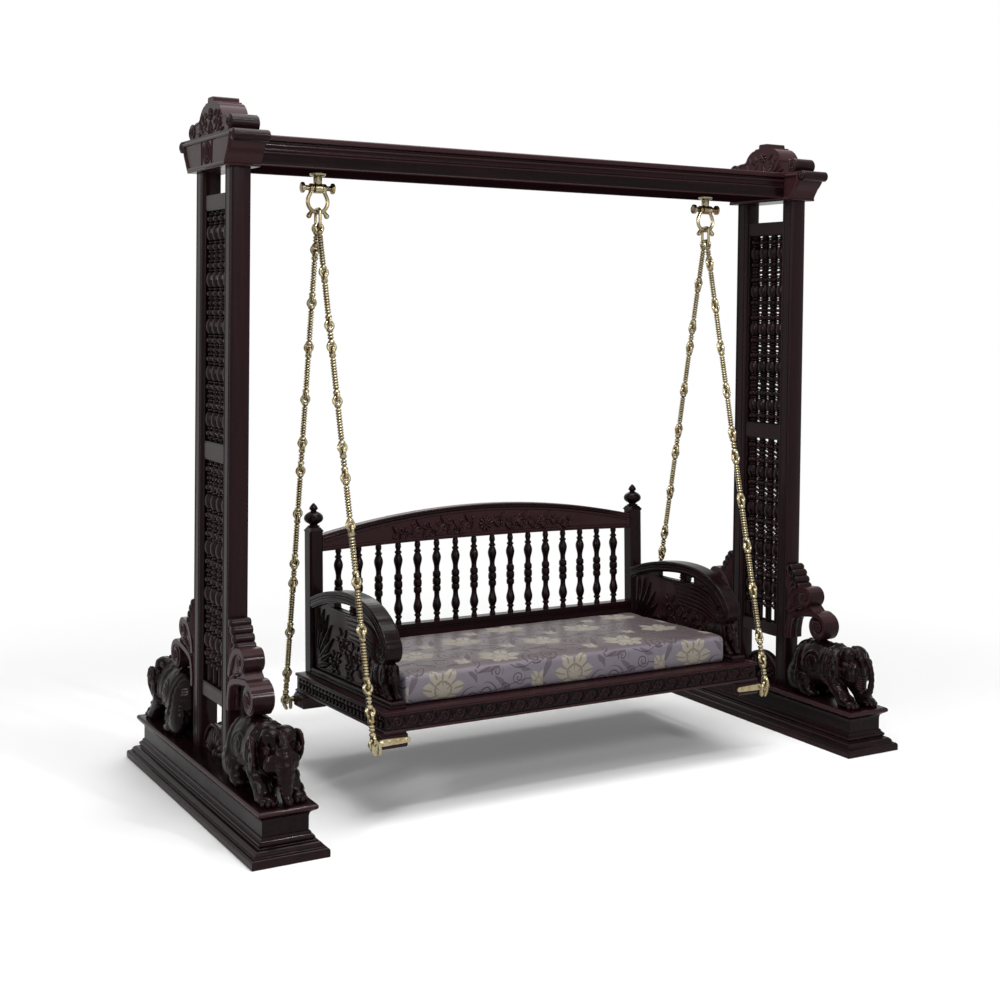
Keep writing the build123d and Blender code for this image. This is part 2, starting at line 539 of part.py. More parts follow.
def connector(side):
    """Oblong link that hangs in the bow and carries the front and rear chains."""
    path = Wire(RectangleRounded(CONNECTOR_WIDTH, CONNECTOR_LENGTH, CONNECTOR_CORNER).edges())
    plane = Plane(
        origin=(side * HANGER_X, 0, (CONNECTOR_TOP + CONNECTOR_LOW) / 2),
        x_dir=(0, 1, 0),
        z_dir=(1, 0, 0),
    )
    start = Plane(origin=path @ 0, z_dir=path % 0)
    return plane * sweep(start * Circle(CONNECTOR_WIRE), path=path)


def chain_ends(side, end):
    """A chain's upper and lower knots, where its end rings cross the pieces that they hang on."""
    top = Vector(side * HANGER_X, end * CHAIN_TOP_OFFSET, UPPER_KNOT_Z)
    return top, Vector(side * EYE_X, end * EYE_Y, LOWER_KNOT_Z)


def link(pitch):
    """One link on the Z axis, hanging down from the knot at 0: a ring, a rod and a ring."""
    inset = RING_RADIUS - WIRE_RADIUS - LINK_GAP / 2
    ring = Rot(90, 0, 0) * Torus(RING_RADIUS, WIRE_RADIUS)
    rod = rod_z(ROD_RADIUS, 0, 0, (-pitch + inset + RING_RADIUS, -inset - RING_RADIUS))
    return Pos(0, 0, -inset) * ring + Pos(0, 0, inset - pitch) * ring + rod


def chain(name, side, end):
    """Links from the connector to a corner of the seat, each a quarter turn from the one above."""
    top, bottom = chain_ends(side, end)
    run = bottom - top
    order = LINK_ORDER[name]
    long_pitch = (run.length - order.count("S") * SHORT_PITCH) / order.count("L")
    across = Vector(0, 1, 0).cross(-run).normalized()
    pieces = []
    along = 0.0
    for index, letter in enumerate(order):
        pitch = long_pitch if letter == "L" else SHORT_PITCH
        at = top + run.normalized() * along
        placed = Plane(origin=at, x_dir=across, z_dir=-run)
        pieces.append(placed * Rot(0, 0, 90 * (index % 2)) * link(pitch))
        along += pitch
    return pieces


# Seat


def apron_section(depth):
    """A moulded rail's section, from its outer face at depth inwards."""
    height = APRON_TOP - APRON_BOTTOM
    inner = depth - APRON_THICKNESS
    recess = depth - APRON_RECESS
    return outline(
        (inner, APRON_BOTTOM),
        (depth - APRON_EDGE, APRON_BOTTOM),
        (depth, APRON_BOTTOM + APRON_EDGE),
        (depth, APRON_BOTTOM + 0.22 * height),
        (recess, APRON_BOTTOM + 0.32 * height),
        (recess, APRON_TOP - 0.26 * height),
        (depth, APRON_TOP - 0.18 * height),
        (depth, APRON_TOP),
        (inner, APRON_TOP),
    )


def mitre(long_half, short_half):
    """The part of the seat's plan that one apron fills, for an apron at +Y."""
    back = APRON_THICKNESS * 2
    plan = outline(
        (-long_half, short_half),
        (long_half, short_half),
        (long_half - back, short_half - back),
        (-long_half + back, short_half - back),
    )
    return extrude(Pos(0, 0, APRON_BOTTOM - 5) * plan, APRON_TOP - APRON_BOTTOM + 10)


def long_apron(end):
    """Front or rear apron, mitred at both ends."""
    rail = along_x(apron_section(HALF_SEAT_Y), (-HALF_SEAT_X, HALF_SEAT_X))
    return mirror_y(rail & mitre(HALF_SEAT_X, HALF_SEAT_Y), end)


def side_apron(side):
    """Left or right apron, mitred at both ends."""
    rail = along_x(apron_section(HALF_SEAT_X), (-HALF_SEAT_Y, HALF_SEAT_Y))
    return Rot(0, 0, -90 * side) * (rail & mitre(HALF_SEAT_Y, HALF_SEAT_X))


def seat_deck():
    """Board inside the aprons, flush with their tops."""
    return block(
        (-HALF_SEAT_X + APRON_THICKNESS, HALF_SEAT_X - APRON_THICKNESS),
        (-HALF_SEAT_Y + APRON_THICKNESS, HALF_SEAT_Y - APRON_THICKNESS),
        (APRON_TOP - DECK_THICKNESS, APRON_TOP),
    )


def block_limits(side):
    """X limits of a corner block."""
    outer = side * (HALF_SEAT_X + BLOCK_END_OVERHANG)
    return ordered(outer, outer - side * BLOCK_LENGTH)


def corner_blocks():
    """A short block under each corner of the seat, which carries it."""
    pieces = []
    for side in SIDES.values():
        for end in ENDS.values():
            y = ordered(end * BLOCK_FACE, end * (BLOCK_FACE - BLOCK_DEPTH))
            piece = block(block_limits(side), y, (APRON_BOTTOM - BLOCK_HEIGHT, APRON_BOTTOM))
            pieces.append(fillet(piece.edges().filter_by(Axis.Z), BLOCK_EDGE))
    return pieces


def chain_straps():
    """A plate on each corner block that ends in the eye for the chain, and its screw heads."""
    pieces = []
    for side in SIDES.values():
        for end in ENDS.values():
            low, high = block_limits(side)
            outer = high if side > 0 else low
            inner = low if side > 0 else high
            y = ordered(end * BLOCK_FACE, end * (BLOCK_FACE + STRAP_THICKNESS))
            z = centred(EYE_HEIGHT, STRAP_HEIGHT)
            tip = side * (EYE_X - RING_RADIUS)
            plate = block(ordered(inner, outer), y, z)
            neck = rod_x(WIRE_RADIUS, ordered(outer, tip), end * EYE_Y, EYE_HEIGHT)
            ring = Pos(side * EYE_X, end * EYE_Y, EYE_HEIGHT) * Rot(90, 0, 0)
            pieces.append(plate + neck + ring * Torus(RING_RADIUS, WIRE_RADIUS))
            face = end * (BLOCK_FACE + STRAP_THICKNESS)
            for number in range(SCREW_COUNT):
                share = (number + 0.5) / SCREW_COUNT
                x = inner + share * (outer - inner)
                head = ordered(face, face + end * SCREW_HEAD)
                pieces.append(rod_y(SCREW_RADIUS, x, head, EYE_HEIGHT))
    return pieces


def cushion():
    """Flat box cushion between the arms, from near the front edge to the posts."""
    half = ARM_INNER - CUSHION_GAP
    pad = block(
        (-half, half),
        (CUSHION_SETBACK - HALF_SEAT_Y, POST_FRONT - CUSHION_GAP),
        (SEAT_HEIGHT, SEAT_HEIGHT + CUSHION_THICKNESS),
    )
    return fillet(pad.edges(), CUSHION_EDGE)


# Back


def back_post(side):
    """Square post on the seat's rear corner, with a chamfered top."""
    post = block(
        centred(side * POST_X, POST_WIDTH),
        centred(POST_MIDDLE, POST_DEPTH),
        (SEAT_HEIGHT, POST_TOP),
    )
    return chamfer(post.edges().group_by(Axis.Z)[-1], POST_CHAMFER)


def finial(side):
    """Turned ball with an acorn tip on a back post."""
    neck = FINIAL_BALL * 0.4
    ball_z = POST_TOP + FINIAL_BALL * 0.95
    ball = Pos(0, 0, ball_z) * Sphere(FINIAL_BALL)
    stem = rod_z(neck, 0, 0, (POST_TOP, ball_z))
    tip_low, tip_high = ball_z + FINIAL_BALL * 0.8, POST_TOP + FINIAL_HEIGHT
    tip = Pos(0, 0, (tip_low + tip_high) / 2) * Cone(neck, neck * 0.3, tip_high - tip_low)
    below = POST_TOP - 2 * FINIAL_BALL
    floor = block(centred(0, 4 * FINIAL_BALL), centred(0, 4 * FINIAL_BALL), (below, POST_TOP))
    return Pos(side * POST_X, POST_MIDDLE, 0) * (ball + stem + tip - floor)


def crest_rail():
    """Arched top rail between the back posts."""
    low = SEAT_HEIGHT + CREST_RAIL_LOW
    high = low + CREST_RAIL_END_HEIGHT
    middle_low, middle_high = low + CREST_RAIL_UNDER_ARCH, high + CREST_RAIL_ARCH
    edges = [
        ThreePointArc((-RAIL_HALF, high), (0, middle_high), (RAIL_HALF, high)),
        Line((RAIL_HALF, high), (RAIL_HALF, low)),
        ThreePointArc((RAIL_HALF, low), (0, middle_low), (-RAIL_HALF, low)),
        Line((-RAIL_HALF, low), (-RAIL_HALF, high)),
    ]
    return along_y(make_face(Curve() + edges), centred(POST_MIDDLE, CREST_RAIL_THICKNESS))


def lower_back_rail():
    """Straight rail under the back spindles."""
    z = (SEAT_HEIGHT, SEAT_HEIGHT + LOWER_RAIL_HEIGHT)
    return block((-RAIL_HALF, RAIL_HALF), centred(POST_MIDDLE, LOWER_RAIL_THICKNESS), z)


def back_spindles(top_rail):
    """Turned balusters between the back rails."""
    low = SEAT_HEIGHT + LOWER_RAIL_HEIGHT
    high = SEAT_HEIGHT + CREST_RAIL_LOW
    into_rail = high + CREST_RAIL_UNDER_ARCH + SPINDLE_HOUSING
    count = int((2 * RAIL_HALF - SPINDLE_PITCH / 2) / SPINDLE_PITCH)
    span = high - low
    beads = [(low + at * span, SPINDLE_BULB * share, half) for at, share, half in SPINDLE_BEADS]
    spindle = turned_piece(low, into_rail, SPINDLE_BULB * 0.5, beads)
    pieces = []
    for number in range(count):
        x = (number - (count - 1) / 2) * SPINDLE_PITCH
        pieces.append(Pos(x, POST_MIDDLE, 0) * spindle - top_rail)
    return pieces


# Arms


def arm_limits(side, thickness=ARM_WIDTH):
    """X limits of an arm piece of a given thickness about the arm's middle."""
    return centred(side * ARM_X, thickness)


def arm(side):
    """Curved arm from the back post over to a scroll at the front."""
    peak_y, peak_z = ARM_PEAK
    bend_y, bend_z = ARM_BEND
    scroll_y, scroll_z = ARM_SCROLL_CENTRE
    rear_mid = ((POST_FRONT + peak_y) / 2, peak_z - 0.22 * (peak_z - ARM_POST_TOP))
    front_mid = ((bend_y + peak_y) / 2, peak_z - 0.27 * (peak_z - bend_z))
    under = ARM_THICKNESS
    edges = [
        ThreePointArc((POST_FRONT, ARM_POST_TOP), rear_mid, ARM_PEAK),
        ThreePointArc(ARM_PEAK, front_mid, ARM_BEND),
        Line(ARM_BEND, (scroll_y - ARM_SCROLL * 0.96, scroll_z + ARM_SCROLL * 0.28)),
        Line((scroll_y - ARM_SCROLL * 0.96, scroll_z + ARM_SCROLL * 0.28), (scroll_y, scroll_z)),
        Line((scroll_y, scroll_z), (bend_y + under * 0.75, bend_z - under * 0.75)),
        ThreePointArc(
            (bend_y + under * 0.75, bend_z - under * 0.75),
            (front_mid[0] + 8, front_mid[1] - under),
            (peak_y, peak_z - under),
        ),
        ThreePointArc(
            (peak_y, peak_z - under),
            (rear_mid[0], rear_mid[1] - under),
            (POST_FRONT, ARM_POST_TOP - under),
        ),
        Line((POST_FRONT, ARM_POST_TOP - under), (POST_FRONT, ARM_POST_TOP)),
    ]
    shape = make_face(Curve() + edges) + Pos(scroll_y, scroll_z) * Circle(ARM_SCROLL)
    return along_x(shape, arm_limits(side))


def arm_base_rail(side):
    """Low rail on the seat that carries the arm's panel and its elephant."""
    y = (ARM_BASE_SETBACK - HALF_SEAT_Y, POST_FRONT)
    return block(arm_limits(side), y, (SEAT_HEIGHT, SEAT_HEIGHT + ARM_BASE_HEIGHT))


def arm_panel(side, arm_piece):
    """Carved panel between the base rail and the arm, open under the arm beside a middle knob."""
    low = SEAT_HEIGHT + ARM_BASE_HEIGHT
    front = ARM_PANEL_SETBACK - HALF_SEAT_Y
    peak_y, peak_z = ARM_PEAK
    window_low = SEAT_HEIGHT + ARM_WINDOW_HEIGHT
    top_z = peak_z - ARM_THICKNESS / 2
    lean = ARM_THICKNESS / 2
    sheet = outline(
        (front, low),
        (POST_FRONT, low),
        (POST_FRONT, ARM_POST_TOP - lean),
        (peak_y, top_z),
        (front + ARM_THICKNESS, ARM_BEND[1] - lean),
        (front, ARM_SCROLL_CENTRE[1]),
    )
    for end in (-1, 1):
        window = ordered(peak_y + end * ARM_KNOB / 2, peak_y + end * ARM_WINDOW_REACH)
        middle = (window[0] + window[1]) / 2
        height = peak_z - window_low
        opening = Rectangle(window[1] - window[0], height)
        sheet = sheet - Pos(middle, window_low + height / 2) * opening
    return along_x(sheet, arm_limits(side, ARM_PANEL_THICKNESS)) - arm_piece


def arm_elephant(side):
    """Small elephant at the front of an arm's base rail, facing forwards."""
    x = arm_limits(side, ARM_WIDTH * 0.92)
    low = SEAT_HEIGHT + ARM_BASE_HEIGHT
    top = SEAT_HEIGHT + ARM_ELEPHANT_HEIGHT
    nose = ARM_ELEPHANT_SETBACK - HALF_SEAT_Y
    rear = nose + ARM_ELEPHANT_LENGTH
    head = block(x, (nose, rear), ((low + top) / 2, top))
    head = fillet(head.edges(), ARM_WIDTH * 0.2)
    inset = ARM_ELEPHANT_LENGTH * 0.1
    chin = (low + 2 * top) / 3
    legs = block(arm_limits(side, ARM_WIDTH * 0.7), (nose + inset, rear - inset), (low, chin))
    return head + legs


# Assembly


def frame_nodes():
    """Every fixed piece: the side frames, the beam and what is fastened to it."""
    nodes = {}
    for name, side in SIDES.items():
        nodes[f"{name}_plinth"] = [plinth(side)]
        nodes[f"{name}_plinth_top"] = [plinth_top(side)]
        nodes[f"{name}_rails"] = rails(side)
        nodes[f"{name}_lower_lattice"] = lattice(side, BOTTOM_RAIL[1], MIDDLE_RAIL[0])
        nodes[f"{name}_upper_lattice"] = lattice(side, MIDDLE_RAIL[1], TOP_RAIL[0])
        nodes[f"{name}_arch_carving"] = [arch_carving(side)]
        nodes[f"{name}_capital"] = [capital(side)]
        nodes[f"{name}_crest"] = [crest(side)]
        nodes[f"{name}_hanger_bolt"] = hanger_bolt(side)
        nodes[f"{name}_hanger_pin"] = [hanger_pin(side)]
        for end_name, end in ENDS.items():
            nodes[f"{name}_{end_name}_stile"] = [stile(side, end)]
            nodes[f"{name}_{end_name}_bracket"] = [scroll_bracket(side, end)]
            nodes[f"{name}_{end_name}_elephant"] = [elephant(side, end)]
    nodes["beam"] = [beam()]
    return nodes


def swing_nodes():
    """Every hanging piece, in the swing frame."""
    nodes = {}
    arms = {name: arm(side) for name, side in SIDES.items()}
    for name, side in SIDES.items():
        nodes[f"{name}_bow_shackle"] = [bow_shackle(side)]
        nodes[f"{name}_connector_link"] = [connector(side)]
        for end_name, end in ENDS.items():
            key = f"{name}_{end_name}"
            nodes[f"{key}_chain"] = chain(key, side, end)
        nodes[f"{name}_apron"] = [side_apron(side)]
        nodes[f"{name}_back_post"] = [back_post(side)]
        nodes[f"{name}_arm"] = [arms[name]]
    nodes["front_apron"] = [long_apron(-1)]
    nodes["rear_apron"] = [long_apron(1)]
    nodes["seat_deck"] = [seat_deck()]
    nodes["corner_blocks"] = corner_blocks()
    nodes["chain_straps"] = chain_straps()
    nodes["post_finials"] = [finial(side) for side in SIDES.values()]
    nodes["crest_rail"] = [crest_rail()]
    nodes["lower_back_rail"] = [lower_back_rail()]
    nodes["back_spindles"] = back_spindles(nodes["crest_rail"][0])
    nodes["arm_base_rails"] = [arm_base_rail(side) for side in SIDES.values()]
    nodes["arm_panels"] = [arm_panel(side, arms[name]) for name, side in SIDES.items()]
    nodes["arm_elephants"] = [arm_elephant(side) for side in SIDES.values()]
    nodes["cushion"] = [cushion()]
    return nodes


def material(name):
    """Which density a hanging node has."""
    if name == "cushion":
        return "fabric"
    metal = ("shackle", "link", "chain", "straps")
    return "brass" if name.endswith(metal) else "wood"


def hang_tilt(nodes):
    """Degrees about +X by which the hanging pieces turn until they balance under the pins."""
    rear = 0.0
    below = 0.0
    for name, solids in nodes.items():
        for solid in solids:
            mass = solid.volume * DENSITY[material(name)]
            middle = solid.center(CenterOf.MASS)
            rear += mass * middle.Y
            below += mass * (PIN_HEIGHT - middle.Z)
    return -math.degrees(math.atan2(rear, below))


def hung(shape, tilt):
    """A piece from the swing frame where it hangs."""
    return Pos(0, 0, PIN_HEIGHT) * Rot(tilt, 0, 0) * Pos(0, 0, -PIN_HEIGHT) * shape


def write(name, solids):
    """Write one node's solids to its own file."""
    export_step(Compound(children=[Solid(s.solid().wrapped) for s in solids]), f"parts/{name}.step")


def main():
    os.makedirs("parts", exist_ok=True)
    for name, solids in frame_nodes().items():
        write(name, solids)
    hanging = swing_nodes()
    tilt = hang_tilt(hanging)
    print("hang tilt", round(tilt, 4), "degrees")
    for name, solids in hanging.items():
        write(name, [hung(solid, tilt) for solid in solids])


main()
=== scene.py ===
"""Jhoola swing: the carved, turned, cast and woven surfaces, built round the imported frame.

Shapes are worked out in millimetres, and make_piece() turns them into metres; filled() goes to metres
and back, and patterns are laid out in metres. What hangs is drawn level, as it was cut, and
make_piece() turns it about the hanger pins to where it hangs.
"""

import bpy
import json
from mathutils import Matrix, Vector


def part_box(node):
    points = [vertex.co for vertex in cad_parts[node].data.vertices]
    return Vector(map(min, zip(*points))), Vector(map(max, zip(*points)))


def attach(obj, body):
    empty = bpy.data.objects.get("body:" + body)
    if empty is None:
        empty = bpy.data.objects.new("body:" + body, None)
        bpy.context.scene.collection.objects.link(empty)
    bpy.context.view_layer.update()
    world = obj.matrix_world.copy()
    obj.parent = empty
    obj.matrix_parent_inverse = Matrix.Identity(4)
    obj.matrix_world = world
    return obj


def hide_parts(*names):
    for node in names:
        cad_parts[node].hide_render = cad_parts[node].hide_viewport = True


bl_info = {
    "name": "Jhoola Swing",
    "version": (1, 0, 0),
    "blender": (4, 5, 0),
    "location": "View3D > Sidebar > Jhoola",
    "description": "Builds the looks of a carved jhoola swing around its packed frame",
    "category": "Add Mesh",
}

import json
import math

import bmesh
import bpy
from bpy.props import FloatProperty, FloatVectorProperty, IntProperty, PointerProperty
from mathutils import Matrix, Vector

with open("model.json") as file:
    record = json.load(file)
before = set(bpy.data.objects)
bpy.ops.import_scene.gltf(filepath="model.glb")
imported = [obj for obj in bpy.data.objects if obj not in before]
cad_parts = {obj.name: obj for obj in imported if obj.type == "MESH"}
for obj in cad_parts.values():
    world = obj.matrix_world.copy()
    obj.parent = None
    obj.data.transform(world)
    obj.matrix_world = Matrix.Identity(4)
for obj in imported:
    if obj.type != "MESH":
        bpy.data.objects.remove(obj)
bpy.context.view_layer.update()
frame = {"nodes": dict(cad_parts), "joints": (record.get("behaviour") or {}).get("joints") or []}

MM = 0.001
X, Y, Z = Vector((1, 0, 0)), Vector((0, 1, 0)), Vector((0, 0, 1))
SIDES = {"left": -1, "right": 1}
ENDS = {"front": -1, "rear": 1}
JOINTS = {joint["name"]: joint for joint in frame["joints"]}


# Places, read from the frame


def node_box(name):
    """Lowest and highest corners of a CAD node, in millimetres."""
    low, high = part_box(name)
    return low / MM, high / MM


PIN = Vector(JOINTS["swing"]["pos_m"]) / MM
SWAY_AXIS = JOINTS["side_sway"]["axis"]
TILT = math.atan2(SWAY_AXIS[2], SWAY_AXIS[1])
ABOUT_PINS = Matrix.Translation((0, 0, PIN.z)) @ Matrix.Rotation(TILT, 4, "X")
ABOUT_PINS = ABOUT_PINS @ Matrix.Translation((0, 0, -PIN.z))
LEVEL = ABOUT_PINS.inverted()


def level_box(name):
    """Corners of a hanging CAD node as it was before it was turned about the pins, in millimetres."""
    points = [LEVEL @ (vertex.co / MM) for vertex in frame["nodes"][name].data.vertices]
    low = Vector([min(point[axis] for point in points) for axis in range(3)])
    high = Vector([max(point[axis] for point in points) for axis in range(3)])
    return low, high


def middle(box):
    return (box[0] + box[1]) / 2


def size(box):
    return box[1] - box[0]


# Lines


def arc(centre, radius, start, end, count=6):
    """Points on a circle from one angle to another, in degrees; radius may be (wide, high)."""
    wide, high = radius if isinstance(radius, tuple) else (radius, radius)
    angles = [math.radians(start + (end - start) * i / count) for i in range(count + 1)]
    return [(centre[0] + wide * math.cos(a), centre[1] + high * math.sin(a)) for a in angles]


def spiral(centre, wide, narrow, start, end, count=24):
    """Points on a spiral about a centre, its radius going from wide to narrow."""
    points = []
    for i in range(count + 1):
        share = i / count
        angle = math.radians(start + (end - start) * share)
        radius = wide + (narrow - wide) * share
        points.append((centre[0] + radius * math.cos(angle), centre[1] + radius * math.sin(angle)))
    return points


def smooth(points, steps=6):
    """A smooth line through points, with steps pieces between each two of them."""
    ends = [points[0], *points, points[-1]]
    line = []
    for a, b, c, d in zip(ends, ends[1:], ends[2:], ends[3:]):
        for i in range(steps):
            t = i / steps
            line.append(
                tuple(
                    0.5 * (
                        2 * q + (r - p) * t + (2 * p - 5 * q + 4 * r - s) * t * t
                        + (3 * q - p - 3 * r + s) * t**3
                    )
                    for p, q, r, s in zip(a, b, c, d)
                )
            )
    line.append(tuple(points[-1]))
    return line


def in_yz(points, x=0.0):
    """Flat points (y, z) as points of space at one x."""
    return [Vector((x, y, z)) for y, z in points]


def mirrored(half):
    """An outline from its right half."""
    return half + [(-u, v) for u, v in reversed(half)]


def both_ways(profile):
    """A turned profile from its lower half, the same above 0 as below it."""
    return profile + [(radius, -height) for radius, height in reversed(profile)]


# Placings


def facing(across, up):
    """A placing turn whose X runs along across and Y along up; Z then faces the viewer."""
    return Matrix((across, up, across.cross(up))).transposed().to_4x4()


def facing_x(face):
    """A placing turn whose Z looks along X or against it, and whose Y stays upright."""
    return facing(Y * face, Z)


def about_x(point):
    """A placing matrix at a point whose Z runs along X."""
    return Matrix.Translation(point) @ Matrix.Rotation(math.pi / 2, 4, "Y")


def laid(point, face, angle):
    """A placing matrix at a point of a face, turned about the face's normal by an angle in radians."""
    return Matrix.Translation(point) @ face @ Matrix.Rotation(angle, 4, "Z")


# Solids


def stations(points, across):
    """A placing matrix at each point of a flat path: section u runs along across, v away from the path."""
    result = []
    for index, point in enumerate(points):
        before = points[max(index - 1, 0)]
        after = points[min(index + 1, len(points) - 1)]
        along = (after - before).normalized()
        normal = along.cross(across)
        turned = Matrix((across, normal, along)).transposed().to_4x4()
        result.append(Matrix.Translation(point) @ turned)
    return result


def sweep(bm, section, places):
    """A closed solid: the section carried through its places, each a matrix."""
    corners = [bm.verts.new(places[0] @ Vector((u, v, 0))) for u, v in section]
    face = bm.faces.new(corners)
    made = list(corners)
    for place in places[1:]:
        grown = bmesh.ops.extrude_face_region(bm, geom=[face])
        face = next(part for part in grown["geom"] if isinstance(part, bmesh.types.BMFace))
        for loop, (u, v) in zip(face.loops, section):
            loop.vert.co = place @ Vector((u, v, 0))
            made.append(loop.vert)
    return made


def prism(bm, section, axis, low, high):
    """The section pushed out straight along X, Y or Z; it is drawn on the two axes that follow."""
    if axis == "X":
        turned = Matrix((Y, Z, X)).transposed().to_4x4()
        ends = (Vector((low, 0, 0)), Vector((high, 0, 0)))
    elif axis == "Y":
        turned = Matrix((X, Z, -Y)).transposed().to_4x4()
        ends = (Vector((0, low, 0)), Vector((0, high, 0)))
    else:
        turned = Matrix.Identity(4)
        ends = (Vector((0, 0, low)), Vector((0, 0, high)))
    return sweep(bm, section, [Matrix.Translation(end) @ turned for end in ends])


def slab(bm, low, high):
    """A plain block between two corners."""
    section = [(low[0], low[1]), (high[0], low[1]), (high[0], high[1]), (low[0], high[1])]
    return prism(bm, section, "Z", low[2], high[2])


def tower(bm, centre, half, profile):
    """A four-sided moulded block; profile gives (inset, height) from its foot to its top."""
    square = [(-1, -1), (1, -1), (1, 1), (-1, 1)]
    places = []
    for inset, height in profile:
        place = Matrix.Translation((centre[0], centre[1], height))
        places.append(place @ Matrix.Diagonal((half[0] - inset, half[1] - inset, 1, 1)))
    return sweep(bm, square, places)


def pour(bm, part, places=(Matrix.Identity(4),)):
    """Copy all of one bmesh into another, once for each place."""
    mesh = bpy.data.meshes.new("part")
    part.to_mesh(mesh)
    part.free()
    for place in places:
        copy = mesh.copy()
        copy.transform(place)
        bm.from_mesh(copy)
        bpy.data.meshes.remove(copy)
    bpy.data.meshes.remove(mesh)


def turned(bm, profile, place=Matrix.Identity(4), steps=20):
    """A turned piece: (radius, height) from its foot to its top, about Z of its place."""
    places = [place @ Matrix.Translation((0, 0, z)) @ Matrix.Diagonal((r, r, 1, 1)) for r, z in profile]
    sweep(bm, arc((0, 0), 1, 0, 360, steps)[:-1], places)


def beads(low, high, core, rounds):
    """A turned profile: a core with round beads, each (height, radius, half length)."""
    profile = [(core, low)]
    for height, radius, half in rounds:
        for i in range(7):
            angle = math.pi * i / 6
            swell = core + (radius - core) * math.sin(angle)
            profile.append((swell, height - half * math.cos(angle)))
    profile.append((core, high))
    return profile


def ring(bm, place, radius, wire, steps=28, sides=10):
    """A round ring of round wire that lies flat in its place."""
    part = bmesh.new()
    stood = Matrix.Translation((radius, 0, 0)) @ Matrix.Rotation(math.pi / 2, 4, "X")
    circle = bmesh.ops.create_circle(
        part, cap_ends=False, radius=wire, segments=sides, matrix=stood,
    )["verts"]
    bmesh.ops.spin(
        part, geom=circle + list(part.edges), cent=(0, 0, 0), axis=Z, dvec=(0, 0, 0),
        angle=math.tau, steps=steps, use_merge=True,
    )
    bmesh.ops.remove_doubles(part, verts=part.verts, dist=0.001)
    pour(bm, part, [place])


def strand(bm, points, radius, ends=1.0, closed=False, sides=2, detail=3):
    """A round rod along a smooth line; ends is the share of its radius left at both ends, or a list."""
    curve = bpy.data.curves.new("strand", "CURVE")
    curve.dimensions = "3D"
    curve.bevel_depth = radius
    curve.bevel_resolution = sides
    curve.resolution_u = detail
    curve.use_fill_caps = True
    spline = curve.splines.new("NURBS")
    spline.points.add(len(points) - 1)
    last = len(points) - 1
    for index, point in enumerate(points):
        spline.points[index].co = (*point, 1)
        if isinstance(ends, (list, tuple)):
            spline.points[index].radius = ends[index]
        else:
            spline.points[index].radius = ends + (1 - ends) * math.sin(math.pi * (index + 0.5) / (last + 1))
    spline.order_u = min(3, len(points))
    spline.use_cyclic_u = closed
    spline.use_endpoint_u = not closed
    holder = bpy.data.objects.new("strand", curve)
    mesh = bpy.data.meshes.new_from_object(holder)
    bpy.data.objects.remove(holder)
    bpy.data.curves.remove(curve)
    part = bmesh.new()
    part.from_mesh(mesh)
    bpy.data.meshes.remove(mesh)
    bmesh.ops.remove_doubles(part, verts=part.verts, dist=0.001)
    pour(bm, part)


def lump(bm, centre, radii, turn=(0, 0, 0), detail=(14, 10)):
    """A rounded lump; turn is degrees about X, Y and Z."""
    place = Matrix.Translation(centre)
    for angle, axis in zip(turn, "XYZ"):
        place = place @ Matrix.Rotation(math.radians(angle), 4, axis)
    place = place @ Matrix.Diagonal((*radii, 1))
    bmesh.ops.create_uvsphere(bm, u_segments=detail[0], v_segments=detail[1], radius=1, matrix=place)


def leaf(bm, place, length, width, thick, lobes=5, detail=(18, 6)):
    """A carved leaf that grows along Y in its place and stands proud along Z, with lobed edges."""
    part = bmesh.new()
    bmesh.ops.create_grid(part, x_segments=detail[1], y_segments=detail[0], size=1)
    for vert in part.verts:
        along, across = (vert.co.y + 1) / 2, vert.co.x
        outline = math.sin(math.pi * min(1, 0.06 + 0.94 * along**0.75)) ** 0.8
        lobe = 1 - 0.28 * abs(math.cos(math.pi * lobes * along))
        rib = 1 - 0.5 * math.exp(-((across / 0.22) ** 2))
        dome = math.sqrt(max(0.0, 1 - across * across)) * 0.75 + 0.25
        vert.co.x = across * width / 2 * outline * lobe
        vert.co.y = along * length
        vert.co.z = thick * dome * rib * (0.55 + 0.45 * outline)
    bmesh.ops.remove_doubles(part, verts=part.verts, dist=0.01)
    back = bmesh.ops.extrude_face_region(part, geom=part.faces)
    for vert in back["geom"]:
        if isinstance(vert, bmesh.types.BMVert):
            vert.co.z = -thick * 0.3
    pour(bm, part, [place])


def rosette(bm, place, radius, thick, petals=8):
    """A carved flower that faces Z in its place: a boss, a ring of petals and a rim."""
    part = bmesh.new()
    for index in range(petals):
        angle = 360 * index / petals
        reach = radius * 0.58
        centre = (reach * math.cos(math.radians(angle)), reach * math.sin(math.radians(angle)), 0)
        lump(part, centre, (radius * 0.38, radius * 0.21, thick), (0, 0, angle), (10, 6))
    lump(part, (0, 0, 0), (radius * 0.24, radius * 0.24, thick * 1.4), detail=(10, 6))
    pour(bm, part, [place])


def fused(bm, voxel, smoothing):
    """Lumps and rods melted into one skin of the given fineness."""
    mesh = bpy.data.meshes.new("fused")
    bm.to_mesh(mesh)
    holder = bpy.data.objects.new("fused", mesh)
    bpy.context.scene.collection.objects.link(holder)
    remesh = holder.modifiers.new("Voxels", "REMESH")
    remesh.mode = "VOXEL"
    remesh.voxel_size = voxel
    graph = bpy.context.evaluated_depsgraph_get()
    skin = bpy.data.meshes.new_from_object(holder.evaluated_get(graph))
    bm.clear()
    bm.from_mesh(skin)
    bpy.data.objects.remove(holder)
    bpy.data.meshes.remove(mesh)
    bpy.data.meshes.remove(skin)
    for _ in range(smoothing):
        bmesh.ops.smooth_vert(
            bm, verts=bm.verts, factor=0.5, use_axis_x=True, use_axis_y=True, use_axis_z=True
        )
    bm.normal_update()


